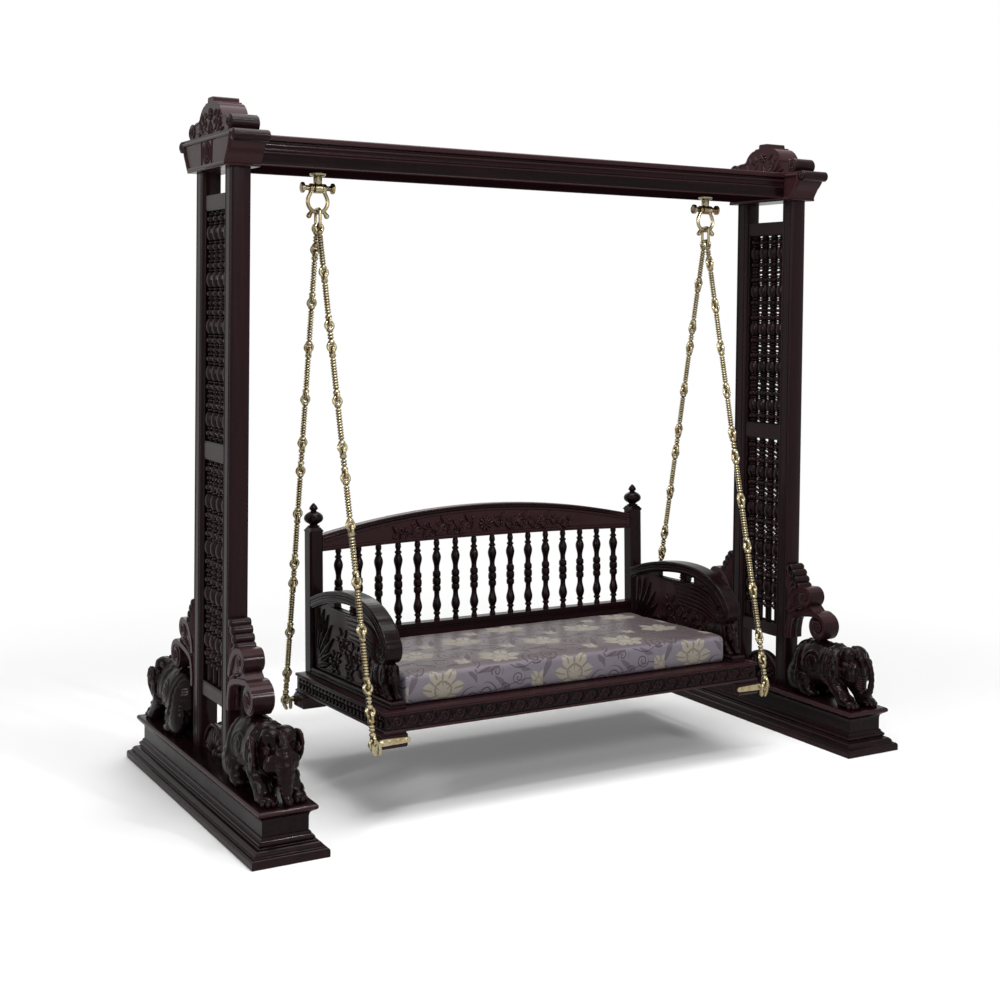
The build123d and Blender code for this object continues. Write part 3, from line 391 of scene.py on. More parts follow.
def cut(bm, tool):
    """Take one closed shape out of another; the tool is used up."""
    holders = []
    for source in (bm, tool):
        bmesh.ops.recalc_face_normals(source, faces=source.faces)
        mesh = bpy.data.meshes.new("cut")
        source.to_mesh(mesh)
        holder = bpy.data.objects.new("cut", mesh)
        bpy.context.scene.collection.objects.link(holder)
        holders.append(holder)
    work, cutter = holders
    difference = work.modifiers.new("Cut", "BOOLEAN")
    difference.operation = "DIFFERENCE"
    difference.object = cutter
    graph = bpy.context.evaluated_depsgraph_get()
    result = bpy.data.meshes.new_from_object(work.evaluated_get(graph))
    bm.clear()
    bm.from_mesh(result)
    tool.free()
    for holder in holders:
        bpy.data.objects.remove(holder)


def make_piece(name, bm, finish, body, replaces, edge=0.0, sharp=35.0):
    """The finished object: in metres, in place, facing outwards, riding on its body.

    All but the stand hangs from the pins.
    """
    bmesh.ops.recalc_face_normals(bm, faces=bm.faces)
    move = Matrix.Scale(MM, 4) @ (Matrix.Identity(4) if body == "stand" else ABOUT_PINS)
    bmesh.ops.transform(bm, matrix=move, verts=bm.verts)
    mesh = bpy.data.meshes.new(name)
    bm.to_mesh(mesh)
    bm.free()
    mesh.polygons.foreach_set("use_smooth", [True] * len(mesh.polygons))
    mesh.set_sharp_from_angle(angle=math.radians(sharp))
    mesh.materials.append(finish_of(finish))
    piece = bpy.data.objects.new(name, mesh)
    bpy.context.scene.collection.objects.link(piece)
    if edge:
        bevel = piece.modifiers.new("Eased edges", "BEVEL")
        bevel.width = edge * MM
        bevel.segments = 2
        bevel.limit_method = "ANGLE"
        bevel.angle_limit = math.radians(sharp)
        bevel.harden_normals = True
    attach(piece, body)
    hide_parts(*replaces)
    return piece


# Sizes and colours that a user would change


def linear(code):
    """The linear colour of an sRGB hex code such as "#281418"."""
    shares = [int(code[i : i + 2], 16) / 255 for i in (1, 3, 5)]
    return tuple(s / 12.92 if s <= 0.04045 else ((s + 0.055) / 1.055) ** 2.4 for s in shares)


def length(name, description, millimetres):
    """A size property, in metres."""
    return FloatProperty(
        name=name, description=description, default=millimetres * MM, min=0.0, unit="LENGTH", precision=4
    )


def tint(name, description, code):
    """A colour property."""
    return FloatVectorProperty(
        name=name, description=description, default=linear(code), subtype="COLOR", size=3, min=0.0, max=1.0
    )


class JhoolaFinish(bpy.types.PropertyGroup):
    """Colours of the woods, metals and cloth."""

    wood_dark: tint("Dark wood", "The darkest streaks of the stained rosewood", "#080304")
    wood_mid: tint("Wood", "The common colour of the stained rosewood", "#120608")
    wood_red: tint("Red wood", "The reddest streaks of the stained rosewood", "#1f0a0f")
    # Laid on sharp edges: rubbed wear and painted glints together.
    wood_worn_and_glint: tint("Worn wood", "Rubbed edges of the stained rosewood", "#3f2629")
    brass: tint("Brass", "Bright cast brass", "#9b9174")
    # Laid in the hollows: tarnish and painted shade together.
    tarnish_and_painted_shade: tint("Tarnish", "Brown tarnish in the hollows of the brass", "#1f190d")
    copper: tint("Copper tone", "Redder patches of the brass", "#8a6c48")
    # The two satin tones are one cloth lit two ways: painted light and shade.
    lit_satin_top: tint("Satin, top", "Taupe of the cushion's top", "#4e4243")
    lit_satin_side: tint("Satin, sides", "Mauve of the cushion's sides", "#6f6871")
    cream: tint("Cream thread", "Woven flowers", "#8f887c")
    plum: tint("Plum thread", "Woven vines", "#3c2c36")
    floor: tint("Floor", "The pale studio floor", "#f7f7f7")


class JhoolaCarving(bpy.types.PropertyGroup):
    """Sizes of the mouldings and carving."""

    bead: length("Corner bead", "Radius of the round bead along a stile's corners", 5.5)
    panel_bead: length("Panel bead", "Radius of the bead round each lattice", 4.5)
    relief: length("Relief", "How far carving stands proud of its ground", 5.0)
    flutes: IntProperty(name="Flutes", description="Flutes of each arch carving", default=9, min=5, max=15)
    scrolls: IntProperty(
        name="Scrolls", description="Running scrolls on a long apron", default=26, min=8, max=40,
    )
    dentils: IntProperty(name="Beads", description="Beads along a side apron", default=24, min=8, max=60)


class JhoolaMetal(bpy.types.PropertyGroup):
    """Sizes of the brass."""

    wire: length("Ring wire", "Radius of the wire of a chain's rings", 5.4)
    ring: length("Ring", "Radius of a chain's rings, to the middle of the wire", 12.2)
    rib: length("Rib", "Radius of the rods at their ribs", 9.8)
    rib_pitch: length("Rib pitch", "Distance between the ribs of a rod", 9.0)
    short_link: length("Short link", "Distance between the knots of a short link", 81.0)


# Materials


def feed(tree, node, inputs):
    """Set a node's inputs; each is given as a value, or as the socket that feeds it."""
    for key, value in inputs.items():
        if isinstance(value, bpy.types.NodeSocket):
            tree.links.new(value, node.inputs[key])
        else:
            node.inputs[key].default_value = value


def add(tree, kind, inputs=None, **settings):
    """A node with its settings and its inputs."""
    made = tree.nodes.new(kind)
    for key, value in settings.items():
        setattr(made, key, value)
    feed(tree, made, inputs or {})
    return made


def calc(tree, operation, *values):
    """A sum of the shader's own: one arithmetic node and its answer."""
    return add(tree, "ShaderNodeMath", dict(enumerate(values)), operation=operation).outputs[0]


def times(tree, a, b):
    return calc(tree, "MULTIPLY", a, b)


def plus(tree, a, b):
    return calc(tree, "ADD", a, b)


def minus(tree, a, b):
    return calc(tree, "SUBTRACT", a, b)


def spread(tree, value, low, high, to_low, to_high, **settings):
    """A value's range from low to high, laid over another range."""
    inputs = {"Value": value, "From Min": low, "From Max": high, "To Min": to_low, "To Max": to_high}
    return add(tree, "ShaderNodeMapRange", inputs, **settings).outputs[0]


def stretched_noise(tree, place, scale, detail, **more):
    """Noise whose coordinates are stretched; scale is one number for each axis."""
    mapping = add(tree, "ShaderNodeMapping", {"Vector": place, "Scale": scale})
    inputs = {"Vector": mapping.outputs[0], "Scale": 1.0, "Detail": detail, **more}
    return add(tree, "ShaderNodeTexNoise", inputs).outputs["Fac"]


def noise(tree, place, scale, detail):
    inputs = {"Vector": place, "Scale": scale, "Detail": detail}
    return add(tree, "ShaderNodeTexNoise", inputs).outputs["Fac"]


def relief_of(tree, height, strength, distance):
    """A bump from a height, its depth in metres."""
    inputs = {"Height": height, "Strength": strength, "Distance": distance}
    return add(tree, "ShaderNodeBump", inputs).outputs[0]


def ramp(tree, factor, stops):
    """A colour ramp fed by a factor; stops are (place, linear colour or grey)."""
    made = add(tree, "ShaderNodeValToRGB", {"Fac": factor})
    elements = made.color_ramp.elements
    while len(elements) < len(stops):
        elements.new(0.5)
    for element, (place, value) in zip(elements, stops):
        element.position = place
        grey = isinstance(value, float)
        element.color = (value, value, value, 1) if grey else (*value, 1)
    return made.outputs["Color"]


def blank_material(name):
    """A new material's tree and its surface shader."""
    material = bpy.data.materials.new(name)
    material.use_nodes = True
    return material, material.node_tree, material.node_tree.nodes["Principled BSDF"]


def blended(tree, factor, a, b, mode="MIX"):
    """Two colours mixed by a factor."""
    inputs = {0: factor, 6: a, 7: b}
    return add(tree, "ShaderNodeMix", inputs, data_type="RGBA", blend_type=mode).outputs[2]


# Noise cells to a metre: streaks 18 mm wide, pores 2.4 mm apart, dull and bright patches of 170 mm
STREAKS, PORES, CLOUDS = 55.0, 420.0, 6.0


def rosewood(name, colours, grain, bare=False, polished=True):
    """Stained rosewood under sprayed gloss lacquer; bare is the redder wood where less stain was laid.

    Nearly black with red streaks along the grain; the lacquer gives sharp reflections over a softer body and
    leaves the pores as short fine scratches. Sharp edges are painted lighter, for rubbed lacquer and as
    painted glints, and hollows darker, as painted shade.
    """
    material, tree, shader = blank_material(name)
    place = add(tree, "ShaderNodeTexCoord").outputs["Object"]
    stretch = {"X": (0.05, 1, 1), "Y": (1, 0.05, 1), "Z": (1, 1, 0.05)}[grain]
    streaks, fibres = ([share * across for share in stretch] for across in (STREAKS, PORES))
    figure = stretched_noise(tree, place, streaks, 5.0, Roughness=0.6, Distortion=0.6)
    pores = stretched_noise(tree, place, fibres, 2.0)
    clouds = noise(tree, place, CLOUDS, 3.0)
    tones = (colours.wood_mid, colours.wood_red, colours.wood_worn_and_glint) if bare else (
        colours.wood_dark, colours.wood_mid, colours.wood_red
    )
    wood = ramp(tree, figure, list(zip((0.3, 0.52, 0.75), map(tuple, tones))))
    pore_mask = ramp(tree, pores, [(0.34, 0.55), (0.46, 1.0)])
    wood = blended(tree, 1.0, wood, pore_mask, "MULTIPLY")
    point = add(tree, "ShaderNodeNewGeometry").outputs["Pointiness"]
    # Sharp edges lightened: rubbed wear and painted glints.
    edge_wear_and_glint = ramp(tree, point, [(0.53, 0.0), (0.64, 0.5)])
    wood = blended(tree, edge_wear_and_glint, wood, (*colours.wood_worn_and_glint, 1))
    # Hollows darkened: painted shade.
    hollow = ramp(tree, point, [(0.4, 0.25), (0.49, 1.0)])
    wood = blended(tree, 1.0, wood, hollow, "MULTIPLY")
    feed(tree, shader, {
        "Base Color": wood,
        "Roughness": spread(tree, clouds, 0.3, 0.7, 0.2, 0.32),
        "Normal": relief_of(tree, pores, 0.06, 0.0004),
        "IOR": 1.5,
        "Specular IOR Level": 0.06 if polished else 0.0,
        "Coat Weight": 0.05 if polished else 0.0,
        "Coat Roughness": 0.09,
    })
    return material


def cast_brass(name, colours):
    """Cast brass, tumbled and left to age: pale on the high parts, brown in the hollows, where tarnish and
    painted shade are laid.
    """
    material, tree, shader = blank_material(name)
    place = add(tree, "ShaderNodeTexCoord").outputs["Object"]
    patches = noise(tree, place, 38.0, 4.0)
    grit = noise(tree, place, 900.0, 2.0)
    copper = ramp(tree, patches, [(0.5, 0.0), (0.66, 0.7)])
    metal = blended(tree, copper, (*colours.brass, 1), (*colours.copper, 1))
    point = add(tree, "ShaderNodeNewGeometry").outputs["Pointiness"]
    # Hollows darkened towards the tarnish colour: tarnish and painted shade.
    hollow = ramp(tree, point, [(0.45, 1.0), (0.535, 0.0)])
    metal = blended(tree, hollow, metal, (*colours.tarnish_and_painted_shade, 1))
    feed(tree, shader, {
        "Base Color": metal,
        "Roughness": spread(tree, patches, 0.3, 0.7, 0.2, 0.38),
        "Normal": relief_of(tree, grit, 0.15, 0.0003),
        "Metallic": 1.0,
    })
    return material


MATERIALS = {}


def finish_of(name):
    """A finish by its name, made the first time that it is asked for."""
    if name not in MATERIALS:
        makers = {
            "wood_x": (rosewood, "stained_rosewood_grain_x", {"grain": "X"}),
            "wood_y": (rosewood, "stained_rosewood_grain_y", {"grain": "Y"}),
            "wood_z": (rosewood, "stained_rosewood_grain_z", {"grain": "Z"}),
            "wood_bare": (rosewood, "thinly_stained_rosewood", {"grain": "X", "bare": True}),
            "wood_unpolished": (rosewood, "unpolished_stained_rosewood", {"grain": "X", "polished": False}),
            "brass": (cast_brass, "aged_cast_brass", {}),
            "brocade": (brocade, "satin_brocade", {}),
        }
        maker, material, options = makers[name]
        MATERIALS[name] = maker(material, bpy.context.scene.jhoola_finish, **options)
    return MATERIALS[name]


def repeat(tree, u, v, wide, high, shift):
    """Coordinates about the middle of each cell of a half-drop repeat, in metres."""
    across = calc(tree, "DIVIDE", plus(tree, u, shift[0]), wide)
    column = calc(tree, "FRACT", times(tree, calc(tree, "FLOOR", across), 0.5))
    up = plus(tree, calc(tree, "DIVIDE", plus(tree, v, shift[1]), high), column)
    x = times(tree, minus(tree, calc(tree, "FRACT", across), 0.5), wide)
    y = times(tree, minus(tree, calc(tree, "FRACT", up), 0.5), high)
    return x, y


def polar(tree, x, y, centre):
    """Distance from a centre and angle from straight up."""
    dx, dy = minus(tree, x, centre[0]), minus(tree, y, centre[1])
    squares = plus(tree, times(tree, dx, dx), times(tree, dy, dy))
    return calc(tree, "SQRT", squares), calc(tree, "ARCTAN2", dx, dy)


def curl(tree, x, y, centre, reach, pitch, turn):
    """A woven tendril: a thin spiral line about a centre."""
    radius, angle = polar(tree, x, y, centre)
    wound = calc(
        tree, "FRACT", plus(tree, calc(tree, "DIVIDE", radius, pitch), times(tree, angle, turn / math.tau)),
    )
    line = calc(tree, "LESS_THAN", wound, 0.27)
    return times(tree, line, calc(tree, "LESS_THAN", radius, reach))


def stem(tree, x, y, height, swing, wave):
    """A woven stem that winds from cell to cell."""
    bend = times(tree, calc(tree, "SINE", times(tree, x, math.tau / wave)), swing)
    away = calc(tree, "ABSOLUTE", minus(tree, minus(tree, y, height), bend))
    return calc(tree, "LESS_THAN", away, 0.0016)


def blade(tree, x, y, centre, angle, long, wide):
    """A woven leaf: an ellipse pointed by a cubed distance."""
    dx, dy = minus(tree, x, centre[0]), minus(tree, y, centre[1])
    cosine, sine = math.cos(math.radians(angle)), math.sin(math.radians(angle))
    along = plus(tree, times(tree, dx, cosine / long), times(tree, dy, sine / long))
    aside = plus(tree, times(tree, dx, -sine / wide), times(tree, dy, cosine / wide))
    size_there = plus(tree, calc(tree, "ABSOLUTE", along), times(tree, aside, aside))
    return calc(tree, "LESS_THAN", size_there, 1.0)


def most(tree, values):
    """The greatest of several masks."""
    found = values[0]
    for value in values[1:]:
        found = calc(tree, "MAXIMUM", found, value)
    return found


def lotus(tree, x, y, centre, reach, petals):
    """An open flower seen from the side: (whole, veins), pointed petals that fan upwards in two layers."""
    radius, angle = polar(tree, x, y, centre)
    wave = calc(tree, "PINGPONG", times(tree, angle, petals / math.tau), 0.5)
    petal = calc(tree, "POWER", times(tree, wave, 2.0), 0.65)
    lean = calc(tree, "COSINE", times(tree, angle, 0.85))
    upward = plus(tree, times(tree, lean, 0.36), 0.66)
    edge = times(tree, times(tree, plus(tree, times(tree, petal, 0.46), 0.5), upward), reach)
    whole = calc(tree, "LESS_THAN", radius, edge)
    share = calc(tree, "DIVIDE", radius, edge)
    between = times(tree, calc(tree, "LESS_THAN", petal, 0.3), calc(tree, "GREATER_THAN", share, 0.34))
    midrib = times(tree, calc(tree, "GREATER_THAN", petal, 0.93), calc(tree, "GREATER_THAN", share, 0.5))
    inner_reach = plus(tree, times(tree, minus(tree, 1.0, petal), 0.3), 0.34)
    inner = calc(tree, "LESS_THAN", calc(tree, "ABSOLUTE", minus(tree, share, inner_reach)), 0.045)
    return whole, times(tree, whole, most(tree, [between, midrib, inner]))


def brocade(name, colours):
    """Satin brocade: cream lotuses, plum tendrils and soft leaves in a half-drop repeat.

    The ground is a smooth satin that catches light; the figured threads are duller and stand up. The ground
    is painted taupe on the top and mauve on the sides: painted light and shade for how light falls on each.
    """
    material, tree, shader = blank_material(name)
    plan = add(tree, "ShaderNodeUVMap", uv_map="plan").outputs[0]
    place = add(tree, "ShaderNodeSeparateXYZ", {0: plan}).outputs
    wobble = noise(tree, plan, 26.0, 2.0)
    stray = times(tree, minus(tree, wobble, 0.5), 0.012)
    u, v = plus(tree, place[0], stray), plus(tree, place[1], stray)
    x, y = repeat(tree, u, v, 0.24, 0.25, (0.12, 0.195))
    flower, veins = lotus(tree, x, y, (0.0, -0.035), 0.1, 7)
    bud, bud_veins = lotus(tree, x, y, (0.105, 0.085), 0.046, 5)
    cream = most(tree, [flower, bud])
    tendrils = most(tree, [
        stem(tree, x, y, 0.088, 0.013, 0.31),
        stem(tree, x, y, -0.1, -0.012, 0.155),
        curl(tree, x, y, (-0.085, 0.07), 0.036, 0.017, 1),
        curl(tree, x, y, (0.1, -0.07), 0.042, 0.02, -1),
        curl(tree, x, y, (-0.12, -0.06), 0.026, 0.014, -1),
        curl(tree, x, y, (0.03, 0.108), 0.024, 0.013, 1),
        curl(tree, x, y, (-0.02, 0.085), 0.02, 0.011, -1),
        curl(tree, x, y, (0.135, 0.03), 0.026, 0.014, 1),
        curl(tree, x, y, (-0.05, -0.115), 0.024, 0.013, 1),
    ])
    leaves = most(tree, [
        blade(tree, x, y, (-0.1, 0.012), 64, 0.045, 0.011),
        blade(tree, x, y, (-0.135, 0.04), 20, 0.03, 0.009),
        blade(tree, x, y, (0.12, -0.005), -40, 0.04, 0.011),
        blade(tree, x, y, (0.06, 0.075), 12, 0.034, 0.009),
        blade(tree, x, y, (-0.03, 0.1), 140, 0.034, 0.01),
        blade(tree, x, y, (-0.075, -0.105), 8, 0.04, 0.01),
        blade(tree, x, y, (0.05, -0.115), -28, 0.034, 0.009),
    ])
    weave = stretched_noise(tree, plan, (60, 1400, 1), 2.0)
    out = add(tree, "ShaderNodeNewGeometry").outputs["Normal"]
    upward = add(tree, "ShaderNodeSeparateXYZ", {0: out}).outputs[2]
    # Upward faces take the top tone and the rest the side tone: painted light and shade.
    top = spread(tree, upward, 0.72, 0.98, 0.0, 1.0)
    ground = blended(tree, top, (*colours.lit_satin_side, 1), (*colours.lit_satin_top, 1))
    ground = blended(tree, times(tree, leaves, 0.55), ground, (*colours.plum, 1))
    ground = blended(tree, times(tree, tendrils, 0.9), ground, (*colours.plum, 1))
    ground = blended(tree, cream, ground, (*colours.cream, 1))
    ground = blended(tree, times(tree, veins, 0.55), ground, (*colours.lit_satin_top, 1))
    ground = blended(tree, times(tree, bud_veins, 0.5), ground, (*colours.lit_satin_top, 1))
    shade = ramp(tree, weave, [(0.25, 0.72), (0.7, 1.0)])
    ground = blended(tree, 1.0, ground, shade, "MULTIPLY")
    figured = most(tree, [cream, tendrils, leaves])
    height = plus(tree, times(tree, figured, 0.7), times(tree, weave, 0.4))
    feed(tree, shader, {
        "Base Color": ground,
        "Roughness": plus(tree, times(tree, figured, 0.2), 0.36),
        "Normal": relief_of(tree, height, 0.35, 0.0006),
        "Specular IOR Level": 0.35,
        "Sheen Weight": 0.12,
        "Sheen Roughness": 0.35,
    })
    return material


# Side frames


def plinth_profile(foot, top):
    """(inset, height) up a moulded plinth: a rolled foot, an ogee, a bead and an upright face."""
    high = top - foot
    fascia = 46.0
    return [
        (1.5, foot),
        (0, foot + 1.5),
        *arc((7, foot + 0.13 * high), (7, 9), 180, 90, 5),
        (11, foot + 0.2 * high),
        (12, foot + 0.225 * high),
        *arc((31, foot + 0.225 * high), (17, 15), 180, 90, 6),
        (34, foot + 0.36 * high),
        *[(38 - r, z) for r, z in arc((0, foot + 0.415 * high), (6, 6.5), -80, 80, 6)],
        (38, foot + 0.48 * high),
        *arc((fascia + 1, foot + 0.48 * high), (7, 10), 180, 98, 4),
        (fascia, top - 20),
        *smooth([(fascia, top - 19), (fascia - 2, top - 10), (fascia - 7, top - 4), (fascia - 15, top)], 3),
    ]


def build_plinth(name):
    low, high = node_box(f"{name}_plinth")
    bm = bmesh.new()
    centre, half = middle((low, high)), size((low, high)) / 2
    tower(bm, centre, half, plinth_profile(low.z, high.z))
    make_piece(f"{name}_moulded_plinth", bm, "wood_y", "stand", [f"{name}_plinth"], edge=0.6)
    low, high = node_box(f"{name}_plinth_top")
    bm = bmesh.new()
    centre, half = middle((low, high)), size((low, high)) / 2
    nose = size((low, high)).z / 2
    profile = [(nose + 4, low.z), (nose, low.z + 1)]
    profile += [
        (nose - 2 - x, z) for x, z in arc((0, middle((low, high)).z), (nose - 2, nose - 1), -80, 80, 8)
    ]
    profile += [(nose * 0.9, high.z - 0.6), (nose + 3, high.z)]
    tower(bm, centre, half, profile)
    make_piece(f"{name}_plinth_board", bm, "wood_y", "stand", [f"{name}_plinth_top"])


def stile_section(half, bead):
    """Outline of a stile: its inner and outer faces carry a round bead and a groove along each edge."""
    quarter = [
        (half.x, half.y - 3.1 * bead),
        (half.x - 0.45 * bead, half.y - 2.7 * bead),
        (half.x - 0.45 * bead, half.y - 2.4 * bead),
        *arc((half.x - bead, half.y - 1.35 * bead), bead, -70, 80, 6),
        (half.x - 1.6 * bead, half.y),
    ]
    upper = [(-x, y) for x, y in quarter]
    right = [(x, -y) for x, y in reversed(quarter)] + quarter
    left = list(reversed(upper)) + [(-x, -y) for x, y in quarter]
    return right + left


def build_stile(name, carving):
    box = node_box(f"{name}_stile")
    bm = bmesh.new()
    centre = middle(box)
    outline = [(centre.x + x, centre.y + y) for x, y in stile_section(size(box) / 2, carving.bead / MM)]
    prism(bm, outline, "Z", box[0].z, box[1].z)
    make_piece(f"{name}_beaded_stile", bm, "wood_z", "stand", [f"{name}_stile"], edge=0.8)


def rail_heights(name):
    """(low, high) of the three rails of a side, lowest first: they lie between and beside the lattices."""
    low, high = node_box(f"{name}_rails")
    lower, upper = node_box(f"{name}_lower_lattice"), node_box(f"{name}_upper_lattice")
    return [(low.z, lower[0].z), (lower[1].z, upper[0].z), (upper[1].z, high.z)]


def build_rails(name, carving):
    """The cross rails and the beads that frame each lattice on both faces."""
    low, high = node_box(f"{name}_rails")
    bead = carving.panel_bead / MM
    bm = bmesh.new()
    for foot, top in rail_heights(name):
        slab(bm, (low.x, low.y, foot), (high.x, high.y, top))
    for panel in ("lower", "upper"):
        box = node_box(f"{name}_{panel}_lattice")
        for face in (low.x + bead, high.x - bead):
            for z in (box[0].z + bead * 0.4, box[1].z - bead * 0.4):
                strand(bm, in_yz([(low.y, z), (high.y, z)], face), bead)
            for y in (low.y + bead * 0.4, high.y - bead * 0.4):
                strand(bm, in_yz([(y, box[0].z), (y, box[1].z)], face), bead)
    make_piece(f"{name}_cross_rails", bm, "wood_y", "stand", [f"{name}_rails"], edge=1.2)


SPINDLE_UNIT = 143.0


def lattice_profile(low, high):
    """A long turned spindle: vases, round beads and rings by turns."""
    rounds = []
    count = int((high - low) / SPINDLE_UNIT)
    first = (low + high) / 2 - count * SPINDLE_UNIT / 2
    for number in range(count + 1):
        base = first + number * SPINDLE_UNIT
        for share, radius, half in (
            (0.0, 19.0, 7.0), (0.1, 17.0, 5.0), (0.2, 22.5, 10.0), (0.3, 17.0, 4.5),
            (0.5, 24.0, 25.0),
            (0.7, 17.0, 4.5), (0.8, 22.5, 10.0), (0.9, 17.0, 5.0),
        ):
            height = base + share * SPINDLE_UNIT
            if low + half < height < high - half:
                rounds.append((height, radius, half))
    return beads(low, high, 12.0, rounds)


def build_lattice(name, panel):
    node = f"{name}_{panel}_lattice"
    box = node_box(node)
    count = 4
    pitch = (size(node_box(f"{name}_rails")).y) / count
    spindle = bmesh.new()
    turned(spindle, lattice_profile(box[0].z, box[1].z), steps=16)
    bm = bmesh.new()
    x = middle(box).x
    pour(
        bm, spindle,
        [Matrix.Translation((x, (number - (count - 1) / 2) * pitch, 0)) for number in range(count)],
    )
    make_piece(f"{name}_{panel}_turned_lattice", bm, "wood_z", "stand", [node])


def build_arch(name, carving):
    """Shell of tapered flutes round a boss, with a rim and a curled leaf at each foot."""
    low, high = node_box(f"{name}_arch_carving")
    x, foot, radius = (low.x + high.x) / 2, low.z, high.z - low.z
    thick = (high.x - low.x) / 2
    bm = bmesh.new()
    half_disc = [
        (radius * 0.93 * math.cos(math.radians(a)), foot + radius * 0.93 * math.sin(math.radians(a)))
        for a in range(0, 181, 10)
    ]
    prism(bm, half_disc, "X", x - thick * 0.45, x + thick * 0.45)
    rim = in_yz(arc((0, foot), radius * 0.93, 2, 178, 20), x)
    for face in (-1, 1):
        shifted = [point + X * face * thick * 0.6 for point in rim]
        strand(bm, shifted, thick * 0.3)
        for index in range(carving.flutes):
            angle = 180 * (index + 0.5) / carving.flutes
            turn = math.radians(angle)
            reach = radius * 0.5
            centre = (x + face * thick * 0.42, reach * math.cos(turn), foot + reach * math.sin(turn))
            spread = radius * 0.5 * math.sin(math.pi / carving.flutes)
            lump(bm, centre, (thick * 0.5, radius * 0.36, spread), (angle, 0, 0), (12, 10))
        lump(bm, (x + face * thick * 0.5, 0, foot), (thick * 0.5, radius * 0.2, radius * 0.2))
        for lean in (-1, 1):
            coil = spiral((lean * radius * 0.74, foot + 14), 13, 4, 270, 270 + lean * 460, 14)
            strand(bm, in_yz(coil, x + face * thick * 0.55), 5.5, 0.5)
    for vert in bm.verts:
        vert.co.z = max(vert.co.z, foot)
    make_piece(f"{name}_shell_carving", bm, "wood_y", "stand", [f"{name}_arch_carving"])


def build_capital(name, carving):
    """Flared block with rolled ends; both broad faces carry a framed panel with a pointed oval."""
    low, high = node_box(f"{name}_capital")
    x, half = (low.x + high.x) / 2, (high.x - low.x) / 2
    flare = high.y
    roll = 18.0
    roll_y = flare - roll
    top = high.z
    roll_z = top - roll
    foot_y = roll_y - 54.0
    bm = bmesh.new()
    cove = [
        (foot_y - 3, low.z), (foot_y, low.z + 3),
        *smooth(
            [
                (foot_y + 2, low.z + 8), (foot_y + 12, low.z + 30), (foot_y + 34, low.z + 52),
                (roll_y - 6, roll_z - 13),
            ],
            4,
        ),
    ]
    right = cove + [(roll_y, roll_z - 10), (roll_y, top)]
    outline = mirrored(right)
    prism(bm, outline, "X", x - half + 5, x + half - 5)
    for end in (-1, 1):
        reel = both_ways([(roll - 5, -half), (roll - 1.5, -half + 1), (roll, -half + 3)])
        turned(bm, reel, about_x((x, end * roll_y, roll_z)), 28)
        for face in (-1, 1):
            coil = in_yz(
                spiral((end * roll_y, roll_z), roll * 0.72, 2, 90, 90 - end * 620, 26), x + face * half,
            )
            strand(bm, coil, 2.2, 0.7)
        lip = [(x + edge_x, end * (foot_y + 1), low.z + 4) for edge_x in (5 - half, half - 5)]
        strand(bm, lip, 4.0)
    frame_line = [
        (foot_y - 10, low.z + 9), (foot_y + 20, low.z + 54), (foot_y + 34, top - 13),
        (-foot_y - 34, top - 13), (-foot_y - 20, low.z + 54), (-foot_y + 10, low.z + 9),
    ]
    for face in (-1, 1):
        level = x + face * (half - 5)
        corners = in_yz(frame_line, level)
        for a, b in zip(corners, corners[1:] + corners[:1]):
            strand(bm, [a, b], 6.5)
        for lean in (-1, 1):
            bow = smooth([
                (0, low.z + 12), (lean * 26, low.z + 32), (lean * 33, middle((low, high)).z),
                (lean * 26, top - 36), (0, top - 16),
            ], 4)
            strand(bm, in_yz(bow, level), 4.6, 0.6)
            strand(bm, in_yz([(lean * 43, low.z + 12), (lean * 47, top - 16)], level), 3.0)
        out = facing_x(face)
        for lean in (-1, 1):
            place = laid((level, lean * 2, low.z + 20), out, face * -lean * 0.28)
            leaf(bm, place, size((low, high)).z * 0.5, 18, carving.relief / MM * 1.2, lobes=4)
        top_leaf = laid((level, 0, top - 20), out, math.pi)
        leaf(bm, top_leaf, 34, 20, carving.relief / MM * 1.3, lobes=3)
    make_piece(f"{name}_carved_capital", bm, "wood_y", "stand", [f"{name}_capital"], edge=1.0)


